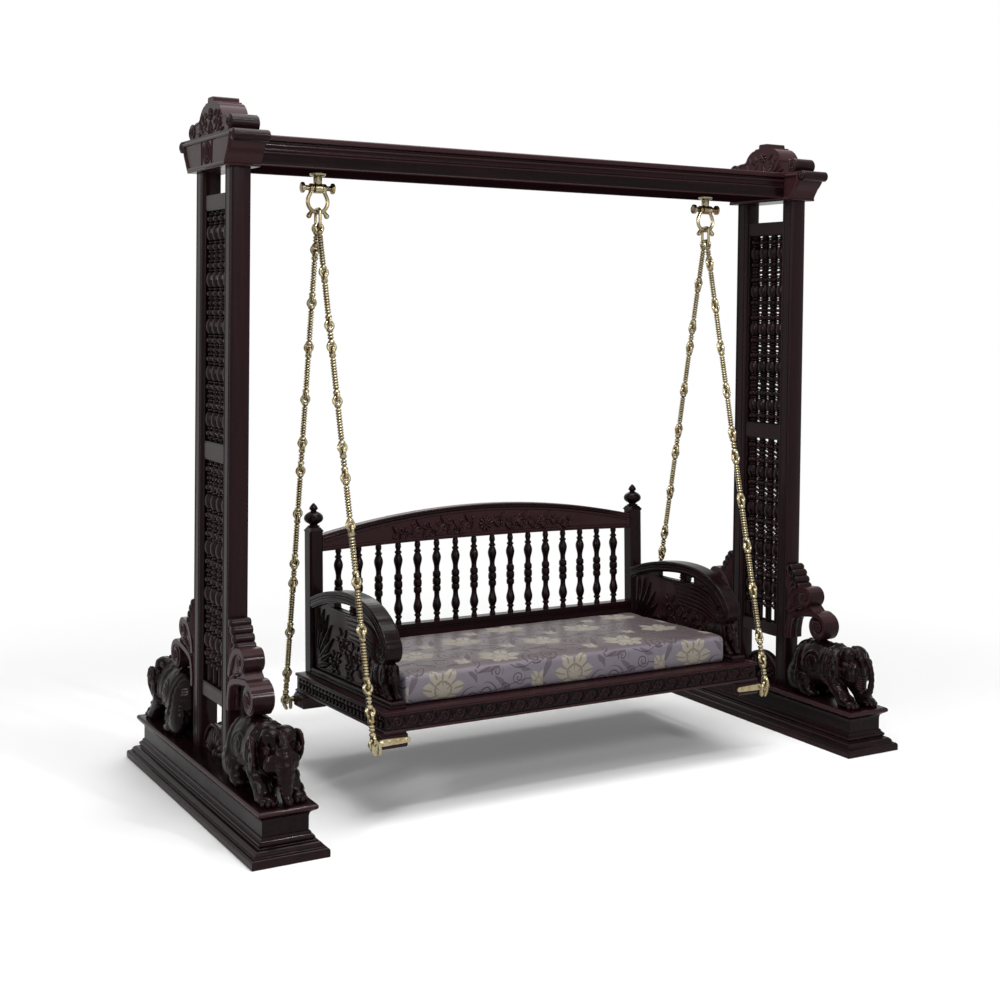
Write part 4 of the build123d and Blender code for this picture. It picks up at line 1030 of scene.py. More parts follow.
def build_crest(name, carving):
    """Domed block in steps under a flat cap, rolled at both ends, with leaf scrolls on its broad faces."""
    low, high = node_box(f"{name}_crest")
    x, half = (low.x + high.x) / 2, (high.x - low.x) / 2
    foot, top = low.z, high.z
    roll = 26.0
    roll_y, roll_z = high.y - roll, foot + roll + 2
    dome = [
        (roll_y - 10, foot), (roll_y - 8, roll_z + 12), *arc((110, roll_z + roll - 4), (36, 6), 0, 90, 3),
        *smooth(
            [
                (101, roll_z + roll + 6), (95, roll_z + roll + 16), (84, top - 37), (66, top - 25),
                (48, top - 20),
            ],
            3,
        ),
        (46, top - 16), (26, top - 15), (24, top - 3), (21, top),
    ]
    outline = mirrored(dome)
    bm = bmesh.new()
    prism(bm, outline, "X", x - half + 4, x + half - 4)
    for end in (-1, 1):
        reel = both_ways([(roll - 8, -half), (roll - 2, -half + 1), (roll, -half + 4)])
        turned(bm, reel, about_x((x, end * roll_y, roll_z)), 32)
        for face in (-1, 1):
            coil = in_yz(
                spiral((end * roll_y, roll_z), roll * 0.75, 3, -90, -90 + end * 640, 28), x + face * half,
            )
            strand(bm, coil, 2.8, 0.7)
    edge_line = [(y, z - 5) for y, z in dome[2:11]]
    for face in (-1, 1):
        level = x + face * (half - 4)
        for lean in (-1, 1):
            strand(bm, in_yz([(lean * (y - 5), z) for y, z in edge_line], level), 2.6, 0.8)
        out = facing_x(face)
        relief = carving.relief / MM
        rosette(bm, Matrix.Translation((level, 0, top - 52)) @ out, 21, relief * 1.1)
        for lean in (-1, 1):
            stalk = smooth(
                [(0, foot + 8), (lean * 40, foot + 20), (lean * 62, foot + 44), (lean * 40, foot + 60)], 5,
            )
            strand(bm, in_yz(stalk, level), 3.2, 0.5)
            coil = spiral((lean * 44, foot + 44), 17, 3, 90, 90 - lean * 500, 22)
            strand(bm, in_yz(coil, level), 3.4, 0.5)
            tail = smooth([(lean * 34, foot + 14), (lean * 74, foot + 16), (lean * 104, foot + 34)], 5)
            strand(bm, in_yz(tail, level), 3.0, 0.4)
            for y, z, turn, long in (
                (14, foot + 10, 20, 40), (60, foot + 14, -60, 34), (78, foot + 26, -30, 32),
                (30, top - 60, -50, 30), (66, foot + 50, -20, 28), (88, foot + 12, -75, 30),
            ):
                place = laid((level, lean * y, z), out, math.radians(turn) * lean * face)
                leaf(bm, place, long, 15, relief, lobes=4)
    make_piece(f"{name}_carved_crest", bm, "wood_y", "stand", [f"{name}_crest"], edge=1.0)


NUT_RECESS = 28.0  # radius of the hole over each bolt's nut
NUT_SEAT_DROP = 30.0  # from the bolt's end down to the nut's seat


def build_beam():
    """Moulded beam between the capitals: a stepped face above and below a flat band."""
    low, high = node_box("beam")
    face = node_box("right_capital")[0].x
    depth = (high.y - low.y) / 2
    foot, top = low.z, high.z
    half = [
        (depth - 40, foot + 3),
        (depth - 14, foot + 3),
        (depth - 12, foot),
        (depth - 5, foot),
        *arc((depth - 5, foot + 2.5), (3, 2.5), -60, 60, 4),
        (depth - 5, foot + 6),
        (depth - 5, foot + 36),
        *arc((depth - 5, foot + 40), (3, 3), -80, 80, 4),
        (depth - 5, foot + 45),
        *arc((depth - 1, foot + 52), (5, 6), 250, 110, 6),
        *arc((depth - 3, foot + 63), (3, 4), -80, 80, 4),
        (depth - 6, foot + 69),
        (depth - 6, foot + 73),
        (depth, foot + 77),
        (depth, top - 3),
        (depth - 3, top),
    ]
    outline = mirrored(half)
    bm = bmesh.new()
    prism(bm, outline, "X", -face, face)
    for name in SIDES:
        bolt = node_box(f"{name}_hanger_bolt")
        recess = bmesh.new()
        turned(
            recess, [(NUT_RECESS, bolt[1].z - NUT_SEAT_DROP), (NUT_RECESS, top + 5)],
            Matrix.Translation((middle(bolt).x, 0, 0)), 36,
        )
        cut(bm, recess)
    piece = make_piece("moulded_beam", bm, "wood_x", "stand", ["beam"])
    piece.data.materials.append(finish_of("wood_unpolished"))
    for face_of_beam in piece.data.polygons:
        if face_of_beam.normal.z < -0.9:
            face_of_beam.material_index = 1


# Brackets and elephants on the plinths


SCROLL_TURNS = 1.15


def scroll(bm, path, x, width, thick, coil):
    """A broad ribbed band along a path (y, z) that rolls up at its end about coil = (y, z, radius)."""
    centre_y, centre_z, radius = coil
    start = math.degrees(math.atan2(path[-1][1] - centre_z, path[-1][0] - centre_y))
    reach = math.hypot(path[-1][0] - centre_y, path[-1][1] - centre_z)
    rolled = spiral((centre_y, centre_z), reach, radius * 0.3, start, start - 360 * SCROLL_TURNS, 30)
    line = smooth(path, 5) + rolled[1:]
    half, high = width / 2, thick / 2
    section = [
        (-half, -high), (half, -high), (half, high * 0.7),
        *arc((half * 0.72, high * 0.7), (half * 0.28, high * 0.5), 0, 180, 4),
        *arc((0, high * 0.7), (half * 0.4, high * 0.7), 0, 180, 6),
        *arc((-half * 0.72, high * 0.7), (half * 0.28, high * 0.5), 0, 180, 4), (-half, high * 0.7),
    ]
    places = stations(in_yz(line, x), X)
    count = len(places)
    places = [
        place @ Matrix.Diagonal((1 - 0.04 * (i / count), 1 - 0.35 * (i / count) ** 2, 1, 1))
        for i, place in enumerate(places)
    ]
    sweep(bm, section, places)
    drum = radius * 0.93
    turned(
        bm, both_ways([(drum - 4, -half * 0.9), (drum, -half * 0.86)]), about_x((x, centre_y, centre_z)),
        28,
    )
    for face in (-1, 1):
        groove = spiral((centre_y, centre_z), radius * 0.8, radius * 0.3, start, start - 500, 26)
        strand(bm, in_yz(groove, x + face * half * 0.9), 4.2, 0.6)
        button = Matrix.Translation((x + face * half * 0.9, centre_y, centre_z)) @ facing_x(face)
        rosette(bm, button, radius * 0.3, half * 0.12, 6)


def build_bracket(name, end, carving):
    """Three rolled bands, one above another, that spring from the stile and fall outwards."""
    low, high = node_box(f"{name}_bracket")
    x, width = (low.x + high.x) / 2, high.x - low.x
    inner = node_box(f"{name}_stile")[1].y if end > 0 else -node_box(f"{name}_stile")[0].y
    outer = max(abs(low.y), abs(high.y))
    foot, top = low.z, high.z
    bm = bmesh.new()
    large = (outer - 49, foot + 68, 48)
    mid = (inner + 99, foot + 164, 38)
    scroll(
        bm,
        [
            (inner + 5, foot + 2), (inner + 8, foot + 46), (inner + 32, foot + 90),
            (large[0] - 26, foot + 112), (large[0] + 8, large[1] + 38),
        ],
        x, width, 18, large,
    )
    scroll(
        bm,
        [
            (inner + 8, foot + 104), (inner + 24, foot + 150), (inner + 54, foot + 184),
            (mid[0] - 10, mid[1] + 27),
        ],
        x, width * 0.97, 20, mid,
    )
    web = [
        (inner, top - 6), (inner + 16, top - 20), (inner + 62, foot + 196), (inner + 92, foot + 166),
        (large[0] - 6, foot + 104), (inner + 54, foot + 104), (inner + 22, foot + 70),
        (inner + 9, foot + 30), (inner + 9, foot), (inner, foot),
    ]
    prism(bm, web, "X", x - width * 0.4, x + width * 0.4)
    relief = carving.relief / MM
    ripples = ((12, top - 13, 15), (27, top - 32, 16), (41, top - 54, 16), (54, top - 76, 15))
    for out, z, radius in ripples:
        ends = [(radius * 0.3, -width * 0.5), (radius * 0.8, -width * 0.46), (radius, -width * 0.38)]
        turned(bm, both_ways(ends), about_x((x, inner + out, z)), 20)
    for face in (-1, 1):
        level = x + face * width * 0.4
        for out, z, radius in ripples:
            vein = smooth(
                [
                    (inner + 5, foot + 150), (inner + out * 0.5, (foot + 170 + z) / 2),
                    (inner + out * 0.9, z),
                ],
                5,
            )
            strand(bm, in_yz(vein, level), 6.5, 0.4)
        for y, z, turn, long in (
            (inner + 16, foot + 92, -58, 66), (inner + 12, foot + 118, -34, 56),
            (inner + 62, foot + 122, -74, 46),
        ):
            place = laid((level, y, z), facing_x(face), math.radians(turn) * face)
            leaf(bm, place, long, 22, relief * 1.4)
    bmesh.ops.transform(bm, matrix=Matrix.Diagonal((1, end, 1, 1)), verts=bm.verts)
    for vert in bm.verts:
        vert.co.z = min(max(vert.co.z, foot), top + 4)
    make_piece(f"{name}_scroll_bracket", bm, "wood_z", "stand", [f"{name}_bracket"], edge=0.8)


def soft_step(value, low, high):
    """0 below low, 1 above high, and a smooth rise between them."""
    share = min(1.0, max(0.0, (value - low) / (high - low)))
    return share * share * (3 - 2 * share)


ELEPHANT_LONG = 386
# Middle lines (y, z) of the trunks, each point with its share of the rod's radius
TRUNK_UP = [
    (306, 128, 1.2), (316, 96, 0.95), (322, 66, 0.76), (338, 44, 0.62), (360, 50, 0.54),
    (373, 80, 0.46), (376, 118, 0.42), (370, 150, 0.4), (356, 166, 0.42),
]
TRUNK_DOWN = [
    (312, 146, 1.35), (334, 112, 1.15), (344, 78, 0.94), (346, 46, 0.76), (350, 22, 0.62),
    (362, 13, 0.52), (375, 22, 0.44),
]


def elephant_body(bm, trunk_up):
    """The standing elephant's lumps: rear at y 0, trunk at y 386, feet at z 0, back at z 204."""
    lump(bm, (0, 122, 116), (68, 110, 82))
    lump(bm, (0, 66, 100), (70, 68, 92))
    lump(bm, (0, 196, 120), (66, 72, 78))
    lump(bm, (0, 274, 130), (57, 56, 68), (12, 0, 0))
    for lean in (-1, 1):
        lump(bm, (lean * 22, 284, 176), (31, 34, 31))
        lump(bm, (lean * 30, 308, 112), (24, 25, 32))
        lump(bm, (lean * 62, 258, 134), (9, 36, 54), (0, lean * 10, lean * -24))
        lump(bm, (lean * 62, 240, 104), (8, 26, 36), (0, lean * 6, lean * -24))
        lump(bm, (lean * 46, 58, 58), (31, 58, 64))
        limb = [(lean * 42, 226, 92), (lean * 43, 250, 60), (lean * 43, 284, 34), (lean * 43, 298, 6)]
        strand(bm, limb, 30, [1.15, 1.0, 0.92, 1.0], sides=3)
        lump(bm, (lean * 43, 312, 14), (30, 34, 18))
        lump(bm, (lean * 46, 118, 14), (30, 36, 17))
        rear = [(lean * 44, 84, 70), (lean * 45, 100, 34), (lean * 45, 106, 8)]
        strand(bm, rear, 30, [1.1, 0.95, 1.0], sides=3)
    trunk = TRUNK_UP if trunk_up else TRUNK_DOWN
    strand(bm, [(0, y, z) for y, z, _ in trunk], 25, [share for _, _, share in trunk], sides=3)
    if trunk_up:
        lump(bm, (0, 352, 172), (11, 10, 10))


def elephant_details(bm, trunk_up):
    """Ears, eyes, brows, toes, leg and trunk rings, head-dress and tail, on the fused body."""
    for lean in (-1, 1):
        roll = [
            Vector((lean * (72 - 0.06 * abs(y - 262)), y, z))
            for y, z in spiral((262, 160), 22, 6, 200, -220, 16)
        ]
        strand(bm, roll, 6.5, 0.6)
        fold = [(lean * 71, 276, 176), (lean * 75, 288, 140), (lean * 71, 276, 104), (lean * 66, 252, 80)]
        strand(bm, fold, 5.0, 0.5)
        for index in range(3):
            crease = [
                (lean * 72, 246 - 8 * index, 148 - 6 * index),
                (lean * 70, 252 - 9 * index, 118 - 6 * index), (lean * 66, 244 - 8 * index, 92),
            ]
            strand(bm, crease, 3.0, 0.4)
        lump(bm, (lean * 47, 318, 148), (8, 10, 9), detail=(10, 8))
        brow = [
            Vector((lean * (47 - abs(i) * 1.5), 318 + 6 * i, 162 - abs(i) * 3)) for i in (-2, -1, 0, 1, 2)
        ]
        strand(bm, brow, 3.2, 0.5)
        for foot_y, wide in ((312, 27), (112, 28)):
            for index in (-1.5, -0.5, 0.5, 1.5):
                angle = math.radians(90 + 32 * index)
                toe = (lean * 43 + wide * math.cos(angle), foot_y + 31 * math.sin(angle), 8)
                lump(bm, toe, (7.5, 6, 8), detail=(8, 6))
        for foot_y, high in ((300, 32), (268, 62)):
            tilt = Matrix.Rotation(math.radians(-32), 4, "X")
            ring(bm, Matrix.Translation((lean * 43, foot_y, high)) @ tilt, 26, 3.2, 20, 8)
    for index in range(7):
        angle = math.radians(-66 + 22 * index)
        crown_at = (50 * math.sin(angle), 284 - 8 * abs(math.sin(angle)), 150 + 52 * math.cos(angle))
        lump(bm, crown_at, (6.5, 6.5, 6.5), detail=(8, 6))
    down_brow = Matrix((X * -1, Vector((0, 0.42, -0.9)), Vector((0, 0.9, 0.42)))).transposed().to_4x4()
    leaf(bm, Matrix.Translation((0, 318, 196)) @ down_brow, 62, 34, 6, lobes=3, detail=(12, 6))
    rings = 6 if trunk_up else 7
    for index in range(rings):
        share = index / rings
        if trunk_up:
            place = (0, 316 + 8 * share, 112 - 50 * share)
        else:
            place = (0, 332 + 16 * share, 116 - 88 * share)
        lean_back = Matrix.Translation(place) @ Matrix.Rotation(math.radians(-14), 4, "X")
        ring(bm, lean_back, (25 - 9 * share) if trunk_up else (27 - 13 * share), 3.0, 18, 6)
    tail = [(0, 4, 148), (0, -3, 120), (6, -4, 84), (10, 0, 50)]
    strand(bm, tail, 6, [0.8, 0.7, 0.6, 1.2])


def ridge(value, middle_at, width):
    """1 at the middle, falling softly to 0 on both sides."""
    return math.exp(-(((value - middle_at) / width) ** 2))


def dress_elephant(bm):
    """Raise the blanket's edge, fringe and medallion out of the body."""
    bm.normal_update()
    moves = []
    for vert in bm.verts:
        x, y, z = vert.co
        side = abs(x)
        along_cloth = soft_step(y, 66, 70) * (1 - soft_step(y, 214, 218))
        cloth = along_cloth * soft_step(z, 64, 68)
        border = ridge(y, 74, 4.5) + ridge(y, 206, 4.5) + ridge(z, 76, 4.5)
        around = math.hypot(y - 140, z - 128)
        medal = ridge(around, 34, 4) + 0.9 * ridge(around, 20, 3.5)
        petals = ridge(around, 0, 14) * (0.6 + 0.4 * math.cos(6 * math.atan2(z - 128, y - 140)))
        on_side = soft_step(side, 30, 44)
        raised = cloth * (3.2 + 2.6 * min(1.0, border) + on_side * (3.2 * medal + 4.0 * petals))
        dots = cloth * (1 - on_side) * 2.2 * max(0.0, math.sin(y / 4.2) * math.sin(x / 4.2))
        fringe_zone = along_cloth * soft_step(z, 42, 46) * (1 - soft_step(z, 64, 68))
        fringe = fringe_zone * (2.0 + 2.0 * max(0.0, math.cos(y * math.tau / 11)))
        wrinkle = (1 - cloth) * 0.7 * math.sin(z / 3.6 + y / 17) * soft_step(z, 24, 60)
        moves.append(vert.normal * (raised + dots + fringe + wrinkle))
    for vert, move in zip(bm.verts, moves):
        vert.co += move


def elephant_mesh(trunk_up, fineness):
    bm = bmesh.new()
    elephant_body(bm, trunk_up)
    fused(bm, fineness, 5)
    dress_elephant(bm)
    elephant_details(bm, trunk_up)
    for vert in bm.verts:
        vert.co.z = max(vert.co.z, 0.0)
    return bm


def build_elephants(name, side):
    """Elephants of one plinth; the right pair curl their trunks up, the left pair hang them down."""
    carved = elephant_mesh(side > 0, 3.6)
    for end_name, end in ENDS.items():
        low, high = node_box(f"{name}_{end_name}_elephant")
        rear = min(abs(low.y), abs(high.y))
        bm = bmesh.new()
        at = ((low.x + high.x) / 2, end * rear, low.z)
        pour(bm, carved.copy(), [Matrix.Translation(at) @ Matrix.Diagonal((1, end, 1, 1))])
        node = f"{name}_{end_name}_elephant"
        make_piece(f"{name}_{end_name}_carved_elephant", bm, "wood_y", "stand", [node], sharp=60)
    carved.free()


# Hangers and chains


def build_hanger(name):
    """The bolt with its collar, and the headed pin."""
    bolt_low, bolt_high = node_box(f"{name}_hanger_bolt")
    under = node_box("beam")[0].z
    seat = bolt_high.z - NUT_SEAT_DROP
    x = (bolt_low.x + bolt_high.x) / 2
    at_pin = Vector((x, 0, PIN.z))
    bm = bmesh.new()
    shank = [
        (11, PIN.z + 8), (13, PIN.z + 14), (14, PIN.z + 22), (14, under - 12), (20, under - 10),
        (25, under - 6), (26, under - 1), (26, under),
    ]
    turned(bm, shank, Matrix.Translation((x, 0, 0)), 28)
    turned(bm, [(14, under), (14, bolt_high.z - 2), (12, bolt_high.z)], Matrix.Translation((x, 0, 0)), 24)
    turned(bm, both_ways([(15, -13), (17, -11)]), about_x(at_pin), 28)
    turned(
        bm, [(25, seat), (26, seat + 1), (26, seat + 3), (25, seat + 4)], Matrix.Translation((x, 0, 0)), 32,
    )
    hexagon = [(x + 24 * math.cos(a), 24 * math.sin(a)) for a in [math.tau * i / 6 for i in range(6)]]
    prism(bm, hexagon, "Z", seat + 4, seat + 24)
    make_piece(f"{name}_eye_bolt", bm, "brass", "stand", [f"{name}_hanger_bolt"], edge=1.0)
    low, high = node_box(f"{name}_hanger_pin")
    half = (high.x - low.x) / 2
    bm = bmesh.new()
    head = [
        (8, half - 13), (11, half - 12), (12, half - 9), (17, half - 8), (17.4, half - 5), (17, half - 2),
        (14, half - 0.5), (7, half),
    ]
    profile = [(r, -z) for r, z in reversed(head)] + head
    turned(bm, profile, about_x(at_pin), 28)
    make_piece(f"{name}_headed_pin", bm, "brass", "stand", [f"{name}_hanger_pin"])


def build_bow(name):
    """Bow-shaped shackle with two eyes on the pin and a short flared tail at each lower side."""
    low, high = level_box(f"{name}_bow_shackle")
    x = (low.x + high.x) / 2
    wire, eye_x = 6.5, 21.0
    radius = 34.0
    centre = PIN.z - 43.0
    bm = bmesh.new()
    bow = [(-eye_x, PIN.z - 6), (-eye_x - 2, PIN.z - 14)]
    bow += arc((0, centre), radius, 152, 388, 14)
    bow += [(eye_x + 2, PIN.z - 14), (eye_x, PIN.z - 6)]
    strand(bm, [Vector((x + u, 0, z)) for u, z in bow], wire, [1.0] * len(bow), sides=3, detail=4)
    for lean in (-1, 1):
        place = about_x(Vector((x + lean * eye_x, 0, PIN.z)))
        turned(bm, both_ways([(10, -7), (13, -6), (14, -3)]), place, 24)
        knuckle = Matrix.Translation((x + lean * eye_x, 0, PIN.z - 12))
        turned(bm, both_ways([(6, -4), (9, -2)]), knuckle, 16)
        angle = math.radians(146)
        out = Vector((lean * math.sin(angle), 0, math.cos(angle)))
        root = Vector((x, 0, centre)) + out * radius
        strand(bm, [root, root + out * 10, root + out * 19], 7.5, [0.75, 0.9, 1.15])
        lump(bm, root + out * 20, (8.5, 8.5, 8.5), detail=(12, 8))
    make_piece(f"{name}_bow", bm, "brass", f"{name}_hanger", [f"{name}_bow_shackle"])


def build_connector(name):
    """Oblong link that hangs in the bow."""
    low, high = level_box(f"{name}_connector_link")
    x = (low.x + high.x) / 2
    wire = (high.x - low.x) / 2
    half_y, corner = (high.y - low.y) / 2 - wire, 10.0
    top, foot = high.z - wire, low.z + wire
    line = []
    for y, z, start in ((half_y - corner, top - corner, 0), (corner - half_y, top - corner, 90),
                        (corner - half_y, foot + corner, 180), (half_y - corner, foot + corner, 270)):
        line += arc((y, z), corner, start, start + 90, 4)
    bm = bmesh.new()
    strand(bm, in_yz(line, x), wire, [1.0] * len(line), closed=True, sides=3)
    make_piece(f"{name}_oblong_link", bm, "brass", f"{name}_chains", [f"{name}_connector_link"])


LINK_ORDER = {
    "left_front": "LLSLLSLLLLSS",
    "right_front": "SLLLLSLLLLSS",
    "left_rear": "SLLLLSLLSLLS",
    "right_rear": "LLSLLSLLSLLS",
}
KNOT_GAP = 0.3


def link_shape(bm, pitch, metal):
    """One link that hangs from the knot at 0: a ring, a ribbed rod with two collars, and a ring."""
    wire, radius = metal.wire / MM, metal.ring / MM
    inset = radius - wire - KNOT_GAP / 2
    upright = Matrix.Rotation(math.pi / 2, 4, "X")
    ring(bm, Matrix.Translation((0, 0, -inset)) @ upright, radius, wire)
    ring(bm, Matrix.Translation((0, 0, inset - pitch)) @ upright, radius, wire)
    top, foot = -inset - radius, -pitch + inset + radius
    rib, rib_pitch = metal.rib / MM, metal.rib_pitch / MM
    profile = [(5.5, foot - 6), (9.5, foot - 3), (11.5, foot + 2), (9.5, foot + 7), (5.5, foot + 10)]
    span = top - foot - 24
    count = max(2, round(span / rib_pitch))
    for index in range(count):
        base = foot + 12 + span * index / count
        step = span / count
        profile += [
            (rib * 0.52, base), (rib * 0.9, base + 0.2 * step), (rib, base + 0.5 * step),
            (rib * 0.9, base + 0.8 * step),
        ]
    profile.append((rib * 0.52, foot + 12 + span))
    profile += [(5.5, top - 10), (9.5, top - 7), (11.5, top - 2), (9.5, top + 3), (5.5, top + 6)]
    turned(bm, profile, steps=12)


def build_chain(name, metal):
    """Twelve links from the oblong link to a corner of the seat, each a quarter turn from the last."""
    side_name, end_name = name.split("_")
    side, end = SIDES[side_name], ENDS[end_name]
    wire, radius = metal.wire / MM, metal.ring / MM
    oblong = level_box(f"{side_name}_connector_link")
    oblong_wire = size(oblong).x / 2
    strap_low, strap_high = level_box("chain_straps")
    eye_x = max(abs(strap_low.x), abs(strap_high.x)) - radius - wire
    eye_z = middle((strap_low, strap_high)).z
    block_high = level_box("corner_blocks")[1]
    eye_y = block_high.y + EYE_STAND_OFF
    top = Vector((middle(oblong).x, end * 8.0, oblong[0].z + 2 * oblong_wire + KNOT_GAP / 2))
    bottom = Vector((side * eye_x, end * eye_y, eye_z + radius - wire - KNOT_GAP / 2))
    order = LINK_ORDER[name]
    short = metal.short_link / MM
    run = bottom - top
    long = (run.length - order.count("S") * short) / order.count("L")
    across = Y.cross(-run).normalized()
    up = (-run).normalized()
    turned_to = Matrix((across, up.cross(across), up)).transposed().to_4x4()
    bm = bmesh.new()
    along = 0.0
    for index, letter in enumerate(order):
        pitch = long if letter == "L" else short
        link = bmesh.new()
        link_shape(link, pitch, metal)
        at = top + run.normalized() * along
        pour(
            bm, link,
            [Matrix.Translation(at) @ turned_to @ Matrix.Rotation(math.pi / 2 * (index % 2), 4, "Z")],
        )
        along += pitch
    make_piece(
        f"{name}_link_chain", bm, "brass", f"{side_name}_chains", [f"{name}_chain"],
    )


# Seat


APRONS = {
    "front": (X, -Y),
    "rear": (-X, Y),
    "left": (-Y, -X),
    "right": (Y, X),
}


def apron_section(foot, top, thick, relief):
    """(outwards, height) round an apron: a rolled foot, the sunk band and a double bead on top."""
    band_low, band_high = foot + 10, top - 11
    return [
        (-thick, foot),
        (-3, foot),
        *arc((-3, foot + 4), (3, 4), -90, 60, 5),
        (-3, foot + 8),
        (-relief, band_low),
        (-relief, band_high),
        (-2.5, band_high + 1),
        *arc((-2, band_high + 3.4), (2, 2.4), -80, 80, 4),
        (-3, band_high + 6.4),
        *arc((-2.4, top - 2.6), (2.4, 2.6), -60, 90, 4),
        (-thick, top),
    ]


def build_apron(name, carving):
    """One apron, mitred at both ends, with its running carving."""
    low, high = level_box(f"{name}_apron")
    along, outward = APRONS[name]
    long_box, deep_box = level_box("front_apron"), level_box("left_apron")
    half_x, half_y = long_box[1].x, deep_box[1].y
    half_long, half_short = (half_x, half_y) if abs(along.x) else (half_y, half_x)
    thick = min(size((low, high)).x, size((low, high)).y)
    relief = carving.relief / MM
    bm = bmesh.new()
    places = []
    for sign in (-1, 1):
        at = along * sign * half_long + outward * half_short
        slant = along * sign + outward
        turn = Matrix((slant, Z, along)).transposed().to_4x4()
        places.append(Matrix.Translation(at) @ turn)
    sweep(bm, apron_section(low.z, high.z, thick, relief), places)
    middle_z = (low.z + high.z) / 2
    face = facing(along, Z)
    ground = outward * (half_short - relief)
    unit = bmesh.new()
    if abs(along.x):
        count = carving.scrolls
        pitch = 2 * (half_long - 18) / count
        coil = spiral((0, 0), 14.5, 3, 200, -340, 22)
        sweep_in = smooth([(-pitch * 0.62, -15), (-pitch * 0.45, -13), (-pitch * 0.36, -2), coil[0]], 4)
        strand(unit, [Vector((x, y, 0.6)) for x, y in sweep_in[:-1] + coil], 3.6, 0.6, detail=2)
        lump(unit, (0, 0, 1), (3.6, 3.6, 5), detail=(8, 6))
        for share, up, turn, long, wide in (
            (-0.36, -6, 0.55, 25, 12), (0.26, -17, -0.7, 22, 11), (0.3, 17, 2.4, 19, 10),
        ):
            place = laid((pitch * share, up, 0), Matrix.Identity(4), turn)
            leaf(unit, place, long, wide, relief, 3, detail=(9, 5))
    else:
        count = carving.dentils
        pitch = 2 * (half_long - 18) / count
        lump(unit, (0, 11.5, 0), (pitch * 0.4, 5.6, relief), detail=(10, 8))
        for lean in (-1, 1):
            place = laid((lean * 3, -17.5, 0), Matrix.Identity(4), lean * 0.42)
            leaf(unit, place, 23, 13, relief, 3, detail=(9, 5))
    places = []
    for index in range(count):
        shift = along * ((index - (count - 1) / 2) * pitch)
        places.append(Matrix.Translation(ground + shift + Z * (middle_z - 0.5)) @ face)
    pour(bm, unit, places)
    finish = "wood_x" if abs(along.x) else "wood_y"
    make_piece(f"{name}_carved_apron", bm, finish, "seat", [f"{name}_apron"])


CORNER_BLOCK = (87.0, 78.0)
STRAP_ROOT, STRAP_WAIST, STRAP_END = 629, 700, 716
STRAP_RIVETS = (636, 664, 692)
EYE_STAND_OFF = 3.0  # from the corner blocks' faces out to the middle of the strap eyes


def build_seat_underparts(metal):
    """Deck, corner blocks and the chain straps with their eyes."""
    low, high = level_box("seat_deck")
    bm = bmesh.new()
    slab(bm, low, high)
    make_piece("deck_boards", bm, "wood_x", "seat", ["seat_deck"], edge=1.0)
    low, high = level_box("corner_blocks")
    strap_low, strap_high = level_box("chain_straps")
    bm = bmesh.new()
    half = Vector(CORNER_BLOCK) / 2
    for side in SIDES.values():
        for end in ENDS.values():
            centre = (side * (high.x - half.x), end * (high.y - half.y))
            tower(
                bm, centre, half,
                [
                    (7, low.z), (2.5, low.z + 1.5), (0, low.z + 6), (0, high.z - 8), (3, high.z - 6),
                    (3, high.z),
                ],
            )
    make_piece("seat_corner_blocks", bm, "wood_bare", "seat", ["corner_blocks"], edge=1.2)
    wire, radius = metal.wire / MM, metal.ring / MM
    eye = Vector((strap_high.x - radius - wire, high.y + EYE_STAND_OFF, middle((strap_low, strap_high)).z))
    bm = bmesh.new()
    for side in SIDES.values():
        for end in ENDS.values():
            strap = bmesh.new()
            outline = [
                (STRAP_ROOT, eye.z - 8), (STRAP_WAIST, eye.z - 10),
                *arc((STRAP_END, eye.z), 10, -90, 90, 6), (STRAP_WAIST, eye.z + 10),
                (STRAP_ROOT, eye.z + 8), *arc((STRAP_ROOT, eye.z), 8, 90, 270, 6)[1:-1],
            ]
            prism(strap, outline, "Y", high.y, high.y + 5)
            neck = [
                Vector((STRAP_END - 2, eye.y + 0.5, eye.z)), Vector((STRAP_END + 6, eye.y, eye.z)),
                Vector((eye.x - radius + 1, eye.y, eye.z)),
            ]
            strand(strap, neck, 6.2, [1.0, 0.85, 0.8], sides=3)
            ring(strap, Matrix.Translation(eye) @ Matrix.Rotation(math.pi / 2, 4, "X"), radius, wire)
            for out in (-13, 11):
                tail = smooth(
                    [
                        (eye.x - 8 + out * 0.6, eye.z + 6), (eye.x - 6 + out, eye.z - 12),
                        (eye.x - 12 + out * 0.5, eye.z - 34),
                    ],
                    4,
                )
                strand(
                    strap, [Vector((u, eye.y + 2, w)) for u, w in tail], 6.5,
                    [0.6] + [1.0] * (len(tail) - 2) + [0.5],
                )
            for x in STRAP_RIVETS:
                head = Matrix.Translation((x, high.y + 5, eye.z)) @ Matrix.Rotation(-math.pi / 2, 4, "X")
                turned(strap, [(5.2, -1), (5.2, 0.5), (4, 1.8), (1.5, 2.4)], head, 16)
            pour(bm, strap, [Matrix.Diagonal((side, end, 1, 1))])
    make_piece("cast_chain_straps", bm, "brass", "seat", ["chain_straps"])


def box_unwrapped(bm, low, high):
    """Lay a cover's pattern flat on its top and let it run on down all four sides, in metres."""
    plan = bm.loops.layers.uv.new("plan")
    for face in bm.faces:
        out = face.normal
        for loop in face.loops:
            place = loop.vert.co
            u, v = place.x, place.y
            drop = high.z - place.z
            if abs(out.z) < 0.6 and abs(out.y) >= abs(out.x):
                v = (high.y + drop) if out.y > 0 else (low.y - drop)
            elif abs(out.z) < 0.6:
                u = (high.x + drop) if out.x > 0 else (low.x - drop)
            loop[plan].uv = (u * MM, v * MM)


FILLING_FRAMES = 20


